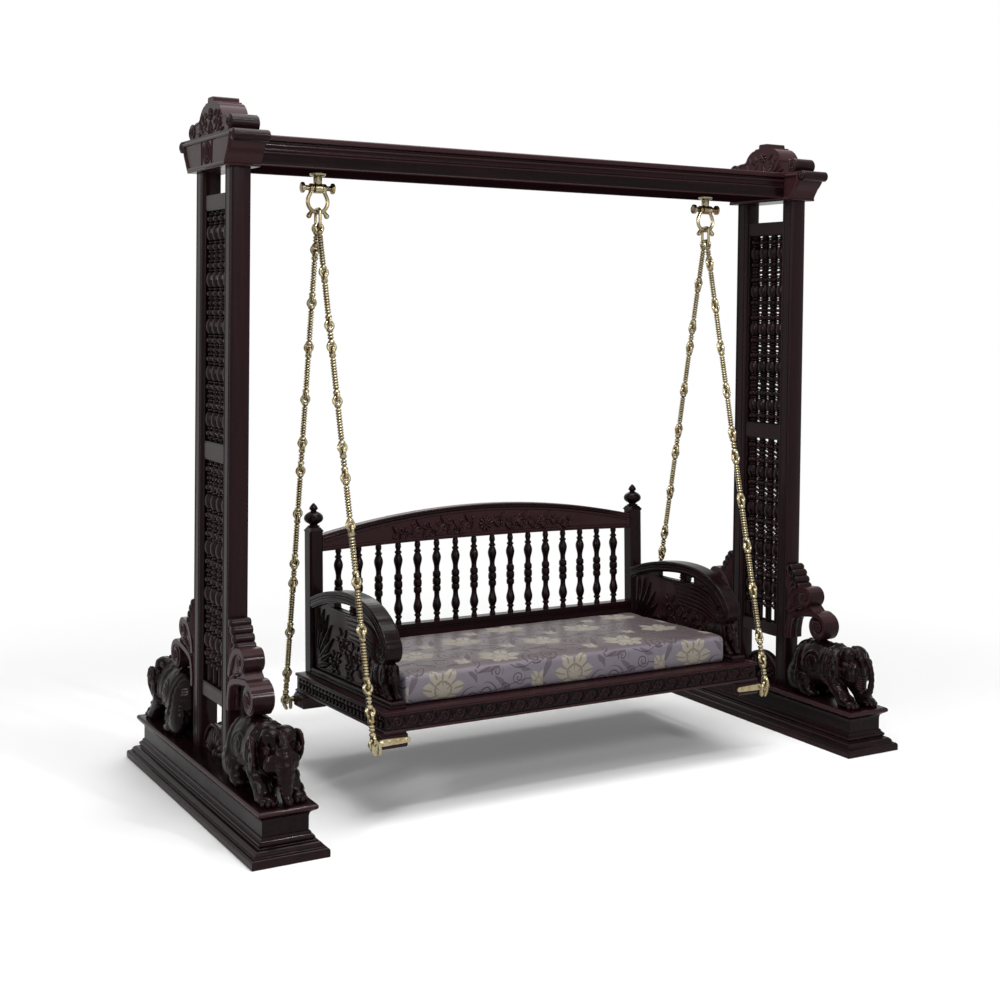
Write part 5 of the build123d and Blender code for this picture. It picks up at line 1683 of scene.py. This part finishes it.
def filled(bm, voxel, pressure, reach):
    """Blow a closed cover up like a filled cushion; no point moves further than reach (all in mm)."""
    bmesh.ops.transform(bm, matrix=Matrix.Scale(MM, 4), verts=bm.verts)
    mesh = bpy.data.meshes.new("cover")
    bm.to_mesh(mesh)
    holder = bpy.data.objects.new("cover", mesh)
    bpy.context.scene.collection.objects.link(holder)
    remesh = holder.modifiers.new("Voxels", "REMESH")
    remesh.mode = "VOXEL"
    remesh.voxel_size = voxel * MM
    graph = bpy.context.evaluated_depsgraph_get()
    holder.data = bpy.data.meshes.new_from_object(holder.evaluated_get(graph))
    holder.modifiers.clear()
    bpy.data.meshes.remove(mesh)
    before = [vertex.co.copy() for vertex in holder.data.vertices]
    cover = holder.data
    cloth = holder.modifiers.new("Filling", "CLOTH")
    cloth.settings.quality = 5
    cloth.settings.use_pressure = True
    cloth.settings.uniform_pressure_force = pressure
    cloth.settings.effector_weights.gravity = 0.0
    for frame_number in range(1, FILLING_FRAMES + 1):
        bpy.context.scene.frame_set(frame_number)
    graph = bpy.context.evaluated_depsgraph_get()
    cover = bpy.data.meshes.new_from_object(holder.evaluated_get(graph))
    bpy.context.scene.frame_set(1)
    for vertex, start in zip(cover.vertices, before):
        move = vertex.co - start
        if move.length > reach * MM:
            vertex.co = start + move.normalized() * reach * MM
    bm.clear()
    bm.from_mesh(cover)
    bpy.data.objects.remove(holder)
    bmesh.ops.transform(bm, matrix=Matrix.Scale(1 / MM, 4), verts=bm.verts)
    bm.normal_update()


def build_cushion():
    """Deep box cushion: crisp edges, a faint crown, slightly hollow sides where the cover pulls."""
    low, high = level_box("cushion")
    bm = bmesh.new()
    slab(bm, low, high)
    bmesh.ops.bevel(
        bm, geom=bm.edges, offset=11, segments=3, profile=0.6, affect="EDGES", clamp_overlap=True,
    )
    filled(bm, voxel=9.0, pressure=2.2, reach=7.0)
    centre, half = middle((low, high)), size((low, high)) / 2
    for vert in bm.verts:
        share_x = (vert.co.x - centre.x) / half.x
        share_y = (vert.co.y - centre.y) / half.y
        height = soft_step(vert.co.z, low.z + 20, high.z - 4)
        crown = max(0.0, 1 - share_x**4) * max(0.0, 1 - share_y**4)
        vert.co.z += height * (7.0 * crown - 3.0 * abs(share_x) ** 10 * abs(share_y) ** 10)
        billow = math.sin(vert.co.x / 61) * math.sin(vert.co.y / 83) + 0.5 * math.sin(
            vert.co.x / 29 + vert.co.y / 43
        )
        vert.co.z += height * 0.9 * billow
        vert.co.z = max(vert.co.z, low.z)
    bm.normal_update()
    box_unwrapped(bm, low, high)
    piece = make_piece("brocade_cushion", bm, "brocade", "seat", ["cushion"], sharp=80)
    smoother = piece.modifiers.new("Fineness", "SUBSURF")
    smoother.levels = 1
    smoother.render_levels = 1


# Seat back


ARCH_STEPS = 24


def arch_line(half, ends, rise):
    """Points (x, z) of a shallow arch between -half and half."""
    along = [half * (2 * i / ARCH_STEPS - 1) for i in range(ARCH_STEPS + 1)]
    return [(x, ends + rise * (1 - (x / half) ** 2)) for x in along]


def build_crest_rail(carving):
    """Arched top rail of the back with a moulded cap and a leafy relief on its front."""
    low, high = level_box("crest_rail")
    half, mid_y, thick = high.x, (low.y + high.y) / 2, high.y - low.y
    foot, under_rise, end_top = low.z, 12.0, low.z + 55.0
    rise = high.z - end_top
    under, over = arch_line(half, foot, under_rise), arch_line(half, end_top, rise)
    bm = bmesh.new()
    prism(bm, under + [(x, z - 3) for x, z in reversed(over)], "Y", low.y + 4, high.y - 4)
    profile = [
        (17, -17), *arc((16.5, -12), (4, 5), -80, 80, 5), (16.5, -6.5), (thick / 2, -5), (thick / 2, -1.5),
        (18, 0),
    ]
    profile = mirrored(profile)
    cap = [Vector((x, mid_y, z)) for x, z in over]
    sweep(bm, profile, stations(cap, Y))
    for y in (low.y + 4, high.y - 4):
        for lift, radius in ((3, 3.0), (9, 4.2), (16, 2.4)):
            strand(bm, [Vector((x, y, z + lift)) for x, z in under], radius)
        strand(bm, [Vector((x * 0.985, y, z - 22)) for x, z in over], 3.0)
    relief = carving.relief / MM
    front = facing(X, Z)
    ground = low.y + 4
    spine = foot + 57
    rosette(bm, Matrix.Translation((0, ground, spine)) @ front, 30, relief * 2.0, 10)
    rosette(bm, Matrix.Translation((0, ground - relief, spine)) @ front, 17, relief * 1.6, 7)
    for lean in (-1, 1):
        vine = [
            (lean * (24 + 12 * i), spine + 2 - 0.022 * i * i + 9 * math.sin(i * 0.72)) for i in range(29)
        ]
        strand(bm, [Vector((x, ground - 1, z)) for x, z in vine], 6.0, 0.4)
        for index in range(1, 28, 2):
            x, z = vine[index]
            up = 1 if (index // 2) % 2 else -1
            place = laid((x, ground - 1, z), front, -lean * (math.pi / 2 - up * 0.85))
            long = 36 if index < 20 else 26
            leaf(bm, place, long, 24, relief * 2.6, 4, detail=(12, 5))
            coil = spiral((x + lean * 12, z - up * 14), 9, 2, 90 * up, 90 * up + lean * up * 420, 14)
            strand(bm, [Vector((u, ground - 1, w)) for u, w in coil], 4.2, 0.6)
        for index in (8, 17, 25):
            x, z = vine[index]
            rosette(bm, Matrix.Translation((x, ground - 1, z + 3)) @ front, 18, relief * 2.0, 6)
    make_piece("arched_crest_rail", bm, "wood_x", "seat", ["crest_rail"], edge=0.6)


def spindle_profile(low, high):
    """Back spindle: bulbs near both ends and three beads in the middle."""
    half = [
        (0.0, 10.5), (0.03, 10.5), (0.045, 8.5), (0.07, 8.5), (0.08, 12.0), (0.1, 12.0), (0.11, 9.0),
        (0.14, 12.5), (0.18, 15.6), (0.22, 15.0), (0.27, 11.5), (0.31, 9.4), (0.35, 9.4), (0.37, 10.5),
        (0.38, 13.4), (0.41, 14.4), (0.44, 13.4), (0.45, 10.5), (0.46, 13.6), (0.5, 15.0),
    ]
    whole = half + [(1 - share, radius) for share, radius in reversed(half[:-1])]
    line = smooth([(radius, low + share * (high - low)) for share, radius in whole], 2)
    return [(max(radius, 5.0), z) for radius, z in line]


def build_spindles():
    low, high = level_box("back_spindles")
    mid_y = (low.y + high.y) / 2
    count = 16
    pitch = (high.x - low.x - (high.y - low.y)) / (count - 1)
    spindle = bmesh.new()
    turned(spindle, spindle_profile(low.z, high.z - 12) + [(8, high.z)], steps=18)
    bm = bmesh.new()
    pour(bm, spindle, [Matrix.Translation(((i - (count - 1) / 2) * pitch, mid_y, 0)) for i in range(count)])
    make_piece("turned_back_spindles", bm, "wood_z", "seat", ["back_spindles"])


def build_lower_rail():
    low, high = level_box("lower_back_rail")
    bm = bmesh.new()
    slab(bm, (low.x, low.y + 3, low.z), (high.x, high.y - 3, high.z - 4))
    slab(bm, (low.x, low.y, high.z - 9), (high.x, high.y, high.z))
    for y in (low.y + 3, high.y - 3):
        for z, radius in ((high.z - 14, 3.2), (high.z - 23, 1.8), (low.z + 12, 3.0)):
            strand(bm, [(low.x, y, z), (high.x, y, z)], radius)
    make_piece("moulded_lower_rail", bm, "wood_x", "seat", ["lower_back_rail"], edge=1.2)


def build_back_posts():
    for name in SIDES:
        low, high = level_box(f"{name}_back_post")
        centre, half = middle((low, high)), size((low, high)) / 2
        chamfer = 7.0
        outline = [
            (centre.x + sx * (half.x - cx), centre.y + sy * (half.y - cy))
            for sx, sy, cx, cy in (
                (1, -1, chamfer, 0), (1, -1, 0, chamfer), (1, 1, 0, chamfer), (1, 1, chamfer, 0),
                (-1, 1, chamfer, 0), (-1, 1, 0, chamfer), (-1, -1, 0, chamfer), (-1, -1, chamfer, 0),
            )
        ]
        bm = bmesh.new()
        prism(bm, outline, "Z", low.z, high.z - 14)
        tower(
            bm, centre, half,
            [(7, high.z - 20), (0, high.z - 14), (0, high.z - 11), (8, high.z)],
        )
        make_piece(f"{name}_chamfered_post", bm, "wood_z", "seat", [f"{name}_back_post"], edge=1.0)


def build_finials():
    post = level_box("right_back_post")
    foot = level_box("post_finials")[0].z
    profile = smooth(
        [
            (19, foot), (21, foot + 2.5), (19, foot + 5), (13, foot + 7), (15, foot + 10), (26, foot + 17),
            (31.5, foot + 24), (32.5, foot + 30), (30.5, foot + 38), (23, foot + 46), (12, foot + 52),
            (9.5, foot + 54), (10, foot + 56), (14, foot + 59), (14.5, foot + 63), (11, foot + 70),
            (6, foot + 76), (2, foot + 80),
        ],
        2,
    )
    finial = bmesh.new()
    turned(finial, profile, steps=36)
    bm = bmesh.new()
    at = middle(post)
    pour(bm, finial, [Matrix.Translation((side * at.x, at.y, 0)) for side in SIDES.values()])
    make_piece("turned_post_finials", bm, "wood_z", "seat", ["post_finials"], sharp=50)


# Arms


ARM_BACK = [
    (-284, 547), (-210, 570), (-132, 586), (-50, 595), (20, 597), (95, 591), (160, 575), (212, 550),
    (246, 523), (266, 498),
]


def arm_section(half, high):
    """Outline across an arm: a reeded top and stepped sides."""
    right = [
        (half - 7, -high),
        *arc((half - 4, -high + 6), (5, 6), -80, 80, 5),
        *arc((half - 4, -high + 17), (4, 5), -80, 80, 5),
        *arc((half - 3, high - 11), (5, 6), -80, 80, 5),
        (half - 3, high - 5),
    ]
    top = [
        *arc((half * 0.66, high - 5), (half * 0.26, 5), 10, 170, 4),
        *arc((0, high - 5), (half * 0.38, 6), 10, 170, 6),
        *arc((-half * 0.66, high - 5), (half * 0.26, 5), 10, 170, 4),
    ]
    left = [(-x, z) for x, z in reversed(right)]
    return right + top + left


def build_arm(name, carving):
    """Bowed arm that ends in a drooping leafy scroll above the elephant."""
    low, high = level_box(f"{name}_arm")
    x, half = (low.x + high.x) / 2, (high.x - low.x) / 2
    coil = (250, 474)
    part = bmesh.new()
    start = math.degrees(math.atan2(ARM_BACK[-1][1] - coil[1], ARM_BACK[-1][0] - coil[0]))
    reach = math.hypot(ARM_BACK[-1][0] - coil[0], ARM_BACK[-1][1] - coil[1])
    rolled = spiral(coil, reach, 12, start, start - 400, 34)
    rolled = [(y, z) for y, z in rolled if y < 400]
    line = smooth(ARM_BACK, 4) + rolled[1:]
    places = stations(in_yz(line), X)
    count = len(places)
    tapered = []
    for index, place in enumerate(places):
        share = max(0.0, (index - count * 0.5) / (count * 0.5))
        tapered.append(place @ Matrix.Diagonal((1 - 0.05 * share, 1 - 0.62 * share, 1, 1)))
    sweep(part, arm_section(half, 19), tapered)
    turned(part, both_ways([(24, -half * 0.8)]), about_x((0, *coil)), 24)
    relief = carving.relief / MM
    for face in (-1, 1):
        rosette(part, Matrix.Translation((face * half * 0.8, *coil)) @ facing_x(face), 17, relief * 1.2, 8)
    bm = bmesh.new()
    pour(bm, part, [Matrix.Translation((x, 0, 0)) @ Matrix.Diagonal((1, -1, 1, 1))])
    make_piece(f"{name}_bowed_arm", bm, "wood_y", "seat", [f"{name}_arm"], edge=0.5)


def build_arm_base():
    """Rails under the arm panels, moulded on both edges, with a stepped front."""
    low, high = level_box("arm_base_rails")
    width = 55.0
    bm = bmesh.new()
    for side in SIDES.values():
        x = side * (high.x - width / 2)
        half = (width / 2, (high.y - low.y) / 2)
        tower(
            bm, (x, (low.y + high.y) / 2), half,
            [(2, low.z), (0, low.z + 2), (0, low.z + 7), (3, low.z + 9), (3, low.z + 12), (1, low.z + 14),
             (1, high.z - 4), (4, high.z - 1), (6, high.z)],
        )
    make_piece("moulded_base_rails", bm, "wood_y", "seat", ["arm_base_rails"], edge=0.5)


def build_arm_panels(carving):
    """Carved panels under the arms: a leaf fan, a sweeping bundle, scrolls and a knob between two windows."""
    low, high = level_box("arm_panels")
    thick = 34.0
    foot, sill, knob = low.z, 548.0, -20.0
    level = thick * 0.3
    part = bmesh.new()
    ground = [
        (high.y, foot), (high.y, 545), (206, 562), (130, 578), (130, sill), (knob + 18, sill),
        (knob + 18, 590), (knob - 18, 590), (knob - 18, sill), (knob - 60, sill), (knob - 60, 588),
        (knob - 150, 568), (-212, 545), (low.y + 6, 510), (low.y, 470), (low.y, foot),
    ]
    prism(part, ground, "X", -level, level)
    relief = carving.relief / MM * 1.3
    for face in (-1, 1):
        flat = face * level
        out = facing_x(face)
        rosette(part, Matrix.Translation((flat, knob, 563)) @ out, 19, relief * 1.5, 8)
        for line in (
            smooth([(146, sill), (100, sill - 2), (0, sill - 3), (-90, sill - 2), (-160, sill)], 4),
            [(high.y - 6, foot + 6), (high.y - 6, 540)],
            [(high.y - 4, foot + 5), (low.y + 4, foot + 5)],
        ):
            strand(part, in_yz(line, flat), 4.0)
        for turn, long in ((4, 190), (15, 196), (26, 196), (38, 186), (51, 168), (65, 140), (80, 106)):
            place = laid((flat, high.y - 22, foot + 14), out, math.radians(turn) * face)
            leaf(part, place, long, 34, relief * 1.4, 6, detail=(22, 6))
        for index in range(6):
            drop = index * 15.0
            sweep_line = smooth(
                [
                    (40 - index * 6, sill - 12 - drop * 0.9), (-60, sill - 10 - drop),
                    (-140, sill - 22 - drop), (-200, sill - 56 - drop * 0.9),
                    (-232 + index * 5, sill - 118 - drop * 0.5),
                ],
                5,
            )
            strand(part, in_yz(sweep_line, flat), 7.5, 0.35)
        for y, z, wide, turn in (
            (60, 440, 34, 1), (-34, 408, 38, -1), (-120, 392, 36, 1), (-196, 376, 30, -1), (10, 366, 22, 1),
            (120, 372, 26, -1),
        ):
            coil = spiral((y, z), wide, 5, 90, 90 + turn * 620, 30)
            strand(part, in_yz(coil, flat), 5.4, 0.5)
            lump(part, (flat, y, z), (relief * 1.3, 7, 7), detail=(10, 8))
            for lean_by in (-70, -25, 25, 70, 140, 215):
                lean = math.radians(lean_by)
                at = (flat, y - wide * 0.9 * math.sin(lean), z + wide * 0.9 * math.cos(lean))
                leaf(part, laid(at, out, lean * face), wide * 0.85, 17, relief * 1.1, 4, detail=(12, 5))
    for vert in part.verts:
        vert.co.z = max(vert.co.z, foot)
        vert.co.y = max(vert.co.y, low.y - 8)
    bm = bmesh.new()
    x = high.x - thick / 2
    pour(bm, part, [Matrix.Translation((side * x, 0, 0)) for side in SIDES.values()])
    make_piece("carved_arm_panels", bm, "wood_y", "seat", ["arm_panels"])


def build_arm_elephants():
    """Small elephants at the fronts of the arms, their rears lost in the panels."""
    low, high = level_box("arm_elephants")
    width = 50.6
    wide, long, high_share = 0.34, 0.42, 0.53
    carved = elephant_mesh(False, 4.6)
    scale = Matrix.Diagonal((wide, -long, high_share, 1))
    bm = bmesh.new()
    places = [
        Matrix.Translation((side * (high.x - width / 2), low.y + ELEPHANT_LONG * long, low.z)) @ scale
        for side in SIDES.values()
    ]
    pour(bm, carved, places)
    make_piece("small_carved_elephants", bm, "wood_y", "seat", ["arm_elephants"], sharp=60)


# Stage


def seen_by(tree):
    """1 for what the camera sees, straight, in gloss or through glass, and 0 for the light that is thrown."""
    rays = add(tree, "ShaderNodeLightPath").outputs
    seen = calc(tree, "MAXIMUM", rays["Is Camera Ray"], rays["Is Glossy Ray"])
    return calc(tree, "MAXIMUM", seen, rays["Is Transmission Ray"])


# Metres from the swing's middle at which the floor begins to be, and is, plain white
WHITE_FLOOR = (1.3, 3.2)
FLOOR_HALF = 30.0


def studio_floor(colours):
    """Matt white-painted floor: takes the soft shadow, and is plain white far from the swing."""
    material, tree, shader = blank_material("matt_white_floor")
    tree.nodes.remove(shader)
    output = tree.nodes["Material Output"]
    seen = seen_by(tree)
    place = add(tree, "ShaderNodeTexCoord").outputs["Object"]
    distance = add(tree, "ShaderNodeVectorMath", {0: place}, operation="LENGTH").outputs["Value"]
    near, far = WHITE_FLOOR
    share = times(tree, spread(tree, distance, near, far, 0.05, 1.0, interpolation_type="SMOOTHSTEP"), seen)
    paint = add(tree, "ShaderNodeBsdfDiffuse", {"Color": (*colours.floor, 1)})
    white = add(tree, "ShaderNodeEmission", {"Color": (1, 1, 1, 1), "Strength": 1.0})
    mixed = add(tree, "ShaderNodeMixShader", {0: share, 1: paint.outputs[0], 2: white.outputs[0]})
    tree.links.new(mixed.outputs[0], output.inputs["Surface"])
    return material


def build_floor():
    bm = bmesh.new()
    bmesh.ops.create_grid(bm, x_segments=2, y_segments=2, size=FLOOR_HALF)
    mesh = bpy.data.meshes.new("studio_floor")
    bm.to_mesh(mesh)
    bm.free()
    mesh.materials.append(studio_floor(bpy.context.scene.jhoola_finish))
    floor = bpy.data.objects.new("studio_floor", mesh)
    bpy.context.scene.collection.objects.link(floor)


def build_world():
    """White surroundings, dimmer for the light that they throw than for what is seen of them."""
    world = bpy.data.worlds.new("studio")
    world.use_nodes = True
    tree = world.node_tree
    background = tree.nodes["Background"]
    strength = spread(tree, seen_by(tree), 0.0, 1.0, 0.17, 1.0)
    feed(tree, background, {"Strength": strength, "Color": (1, 1, 1, 1)})
    bpy.context.scene.world = world


def build_lamp(name, place, target, width, height, power):
    """A white rectangular soft lamp aimed at a point; metres and watts."""
    lamp = bpy.data.lights.new(name, "AREA")
    lamp.shape = "RECTANGLE"
    lamp.size, lamp.size_y = width, height
    lamp.energy = power
    holder = bpy.data.objects.new(name, lamp)
    holder.location = place
    holder.rotation_euler = (Vector(target) - Vector(place)).to_track_quat("-Z", "Y").to_euler()
    bpy.context.scene.collection.objects.link(holder)


def build_lamps():
    """Softboxes for the light, and narrow strips for the bright lines in the lacquer and brass."""
    build_lamp("overhead_softbox", (0.2, -0.2, 4.4), (0.1, 0, 0), 3.4, 2.4, 175)
    build_lamp("front_softbox", (-1.0, -5.5, 3.2), (0, 0, 0.9), 2.4, 1.6, 50)
    build_lamp("left_softbox", (-5.5, -1.0, 2.6), (0, 0, 1.0), 2.0, 2.0, 62)
    build_lamp("rear_softbox", (1.5, 5.0, 3.6), (0, 0, 0.8), 2.4, 1.6, 45)
    build_lamp("front_strip", (0.9, -4.6, 3.4), (0, 0, 0.9), 0.1, 0.9, 60)
    build_lamp("left_strip", (-4.8, -2.2, 3.0), (-0.3, 0, 0.9), 0.1, 0.9, 50)
    build_lamp("top_strip", (-0.6, -1.8, 3.9), (0, 0, 0.6), 1.2, 0.08, 34)


def build_camera():
    """Camera at standing height in front of the left frame."""
    place = Vector((-2.6306, -4.3466, 1.5153))
    yaw, pitch, roll = math.radians(30.25), math.radians(-1.494), math.radians(0.675)
    forward = Vector((math.sin(yaw) * math.cos(pitch), math.cos(yaw) * math.cos(pitch), math.sin(pitch)))
    right = Vector((math.cos(yaw), -math.sin(yaw), 0))
    up = right.cross(forward)
    right_turned = math.cos(roll) * right + math.sin(roll) * up
    up_turned = -math.sin(roll) * right + math.cos(roll) * up
    lens = bpy.data.cameras.new("camera")
    lens.lens = 53.74
    lens.sensor_width = 36.0
    lens.sensor_fit = "HORIZONTAL"
    lens.shift_y = -0.15
    lens.clip_start, lens.clip_end = 0.05, 100.0
    camera = bpy.data.objects.new("camera", lens)
    camera.matrix_world = Matrix.Translation(place) @ Matrix(
        (right_turned, up_turned, -forward)
    ).transposed().to_4x4()
    bpy.context.scene.collection.objects.link(camera)
    bpy.context.scene.camera = camera


# Operators


class PieceOperator:
    """What every operator here has in common."""

    bl_options = {"REGISTER", "UNDO"}

    @property
    def carving(self):
        return bpy.context.scene.jhoola_carving

    @property
    def metal(self):
        return bpy.context.scene.jhoola_metal


class JHOOLA_OT_plinths(PieceOperator, bpy.types.Operator):
    """Moulded plinths with their top boards"""

    bl_idname = "jhoola.plinths"
    bl_label = "Plinths"

    def execute(self, context):
        for name in SIDES:
            build_plinth(name)
        return {"FINISHED"}


class JHOOLA_OT_posts(PieceOperator, bpy.types.Operator):
    """Beaded stiles and the cross rails between them"""

    bl_idname = "jhoola.posts"
    bl_label = "Stiles and Rails"

    def execute(self, context):
        for name in SIDES:
            build_rails(name, self.carving)
            for end in ENDS:
                build_stile(f"{name}_{end}", self.carving)
        return {"FINISHED"}


class JHOOLA_OT_lattices(PieceOperator, bpy.types.Operator):
    """Turned spindles of the side frames"""

    bl_idname = "jhoola.lattices"
    bl_label = "Lattices"

    def execute(self, context):
        for name in SIDES:
            for panel in ("lower", "upper"):
                build_lattice(name, panel)
        return {"FINISHED"}


class JHOOLA_OT_frame_carvings(PieceOperator, bpy.types.Operator):
    """Shell carvings, capitals and crests of the side frames"""

    bl_idname = "jhoola.frame_carvings"
    bl_label = "Shells, Capitals and Crests"

    def execute(self, context):
        for name in SIDES:
            build_arch(name, self.carving)
            build_capital(name, self.carving)
            build_crest(name, self.carving)
        return {"FINISHED"}


class JHOOLA_OT_beam(PieceOperator, bpy.types.Operator):
    """Moulded beam"""

    bl_idname = "jhoola.beam"
    bl_label = "Beam"

    def execute(self, context):
        build_beam()
        return {"FINISHED"}


class JHOOLA_OT_brackets(PieceOperator, bpy.types.Operator):
    """Scroll brackets on the outer faces of the stiles"""

    bl_idname = "jhoola.brackets"
    bl_label = "Scroll Brackets"

    def execute(self, context):
        for name in SIDES:
            for end_name, end in ENDS.items():
                build_bracket(f"{name}_{end_name}", end, self.carving)
        return {"FINISHED"}


class JHOOLA_OT_elephants(PieceOperator, bpy.types.Operator):
    """Carved elephants on the plinths"""

    bl_idname = "jhoola.elephants"
    bl_label = "Elephants"

    def execute(self, context):
        for name, side in SIDES.items():
            build_elephants(name, side)
        return {"FINISHED"}


class JHOOLA_OT_hangers(PieceOperator, bpy.types.Operator):
    """Eye bolts, pins, bows and oblong links"""

    bl_idname = "jhoola.hangers"
    bl_label = "Hangers"

    def execute(self, context):
        for name in SIDES:
            build_hanger(name)
            build_bow(name)
            build_connector(name)
        return {"FINISHED"}


class JHOOLA_OT_chains(PieceOperator, bpy.types.Operator):
    """Four chains of ribbed rod links"""

    bl_idname = "jhoola.chains"
    bl_label = "Chains"

    def execute(self, context):
        for name in LINK_ORDER:
            build_chain(name, self.metal)
        return {"FINISHED"}


class JHOOLA_OT_seat(PieceOperator, bpy.types.Operator):
    """Aprons, deck, corner blocks and chain straps"""

    bl_idname = "jhoola.seat"
    bl_label = "Seat"

    def execute(self, context):
        for name in APRONS:
            build_apron(name, self.carving)
        build_seat_underparts(self.metal)
        return {"FINISHED"}


class JHOOLA_OT_cushion(PieceOperator, bpy.types.Operator):
    """Brocade cushion"""

    bl_idname = "jhoola.cushion"
    bl_label = "Cushion"

    def execute(self, context):
        build_cushion()
        return {"FINISHED"}


class JHOOLA_OT_seat_back(PieceOperator, bpy.types.Operator):
    """Posts, finials, rails and spindles of the back"""

    bl_idname = "jhoola.seat_back"
    bl_label = "Seat Back"

    def execute(self, context):
        build_crest_rail(self.carving)
        build_spindles()
        build_lower_rail()
        build_back_posts()
        build_finials()
        return {"FINISHED"}


class JHOOLA_OT_arms(PieceOperator, bpy.types.Operator):
    """Arms with their carved panels, base rails and small elephants"""

    bl_idname = "jhoola.arms"
    bl_label = "Arms"

    def execute(self, context):
        for name in SIDES:
            build_arm(name, self.carving)
        build_arm_base()
        build_arm_panels(self.carving)
        build_arm_elephants()
        return {"FINISHED"}


class JHOOLA_OT_stage(bpy.types.Operator):
    """Floor, surroundings, lamps and camera"""

    bl_idname = "jhoola.stage"
    bl_label = "Stage"

    def execute(self, context):
        build_floor()
        build_world()
        build_lamps()
        build_camera()
        context.scene.view_settings.view_transform = "Standard"
        return {"FINISHED"}


GROUPS = (JhoolaFinish, JhoolaCarving, JhoolaMetal)
OPERATORS = (
    JHOOLA_OT_plinths,
    JHOOLA_OT_posts,
    JHOOLA_OT_lattices,
    JHOOLA_OT_frame_carvings,
    JHOOLA_OT_beam,
    JHOOLA_OT_brackets,
    JHOOLA_OT_elephants,
    JHOOLA_OT_hangers,
    JHOOLA_OT_chains,
    JHOOLA_OT_seat,
    JHOOLA_OT_cushion,
    JHOOLA_OT_seat_back,
    JHOOLA_OT_arms,
    JHOOLA_OT_stage,
)


class JHOOLA_PT_panel(bpy.types.Panel):
    """Sizes, colours and pieces of the swing"""

    bl_idname = "JHOOLA_PT_panel"
    bl_label = "Jhoola Swing"
    bl_space_type = "VIEW_3D"
    bl_region_type = "UI"
    bl_category = "Jhoola"

    def draw(self, context):
        layout = self.layout
        scene = context.scene
        for group in (scene.jhoola_carving, scene.jhoola_metal, scene.jhoola_finish):
            column = layout.column()
            for key in group.bl_rna.properties.keys():
                if key not in ("rna_type", "name"):
                    column.prop(group, key)
        for operator in OPERATORS:
            layout.operator(operator.bl_idname)


CLASSES = (*GROUPS, *OPERATORS, JHOOLA_PT_panel)


def register():
    for cls in CLASSES:
        bpy.utils.register_class(cls)
    bpy.types.Scene.jhoola_finish = PointerProperty(type=JhoolaFinish)
    bpy.types.Scene.jhoola_carving = PointerProperty(type=JhoolaCarving)
    bpy.types.Scene.jhoola_metal = PointerProperty(type=JhoolaMetal)


def unregister():
    del bpy.types.Scene.jhoola_metal
    del bpy.types.Scene.jhoola_carving
    del bpy.types.Scene.jhoola_finish
    for cls in reversed(CLASSES):
        bpy.utils.unregister_class(cls)


def corners(box):
    """The corners of a box as plain lists of numbers."""
    return [[round(value, 5) for value in corner] for corner in box]


def main():
    register()
    for operator in OPERATORS:
        group, name = operator.bl_idname.split(".")
        getattr(getattr(bpy.ops, group), name)()


if __name__ == "__main__":
    main()
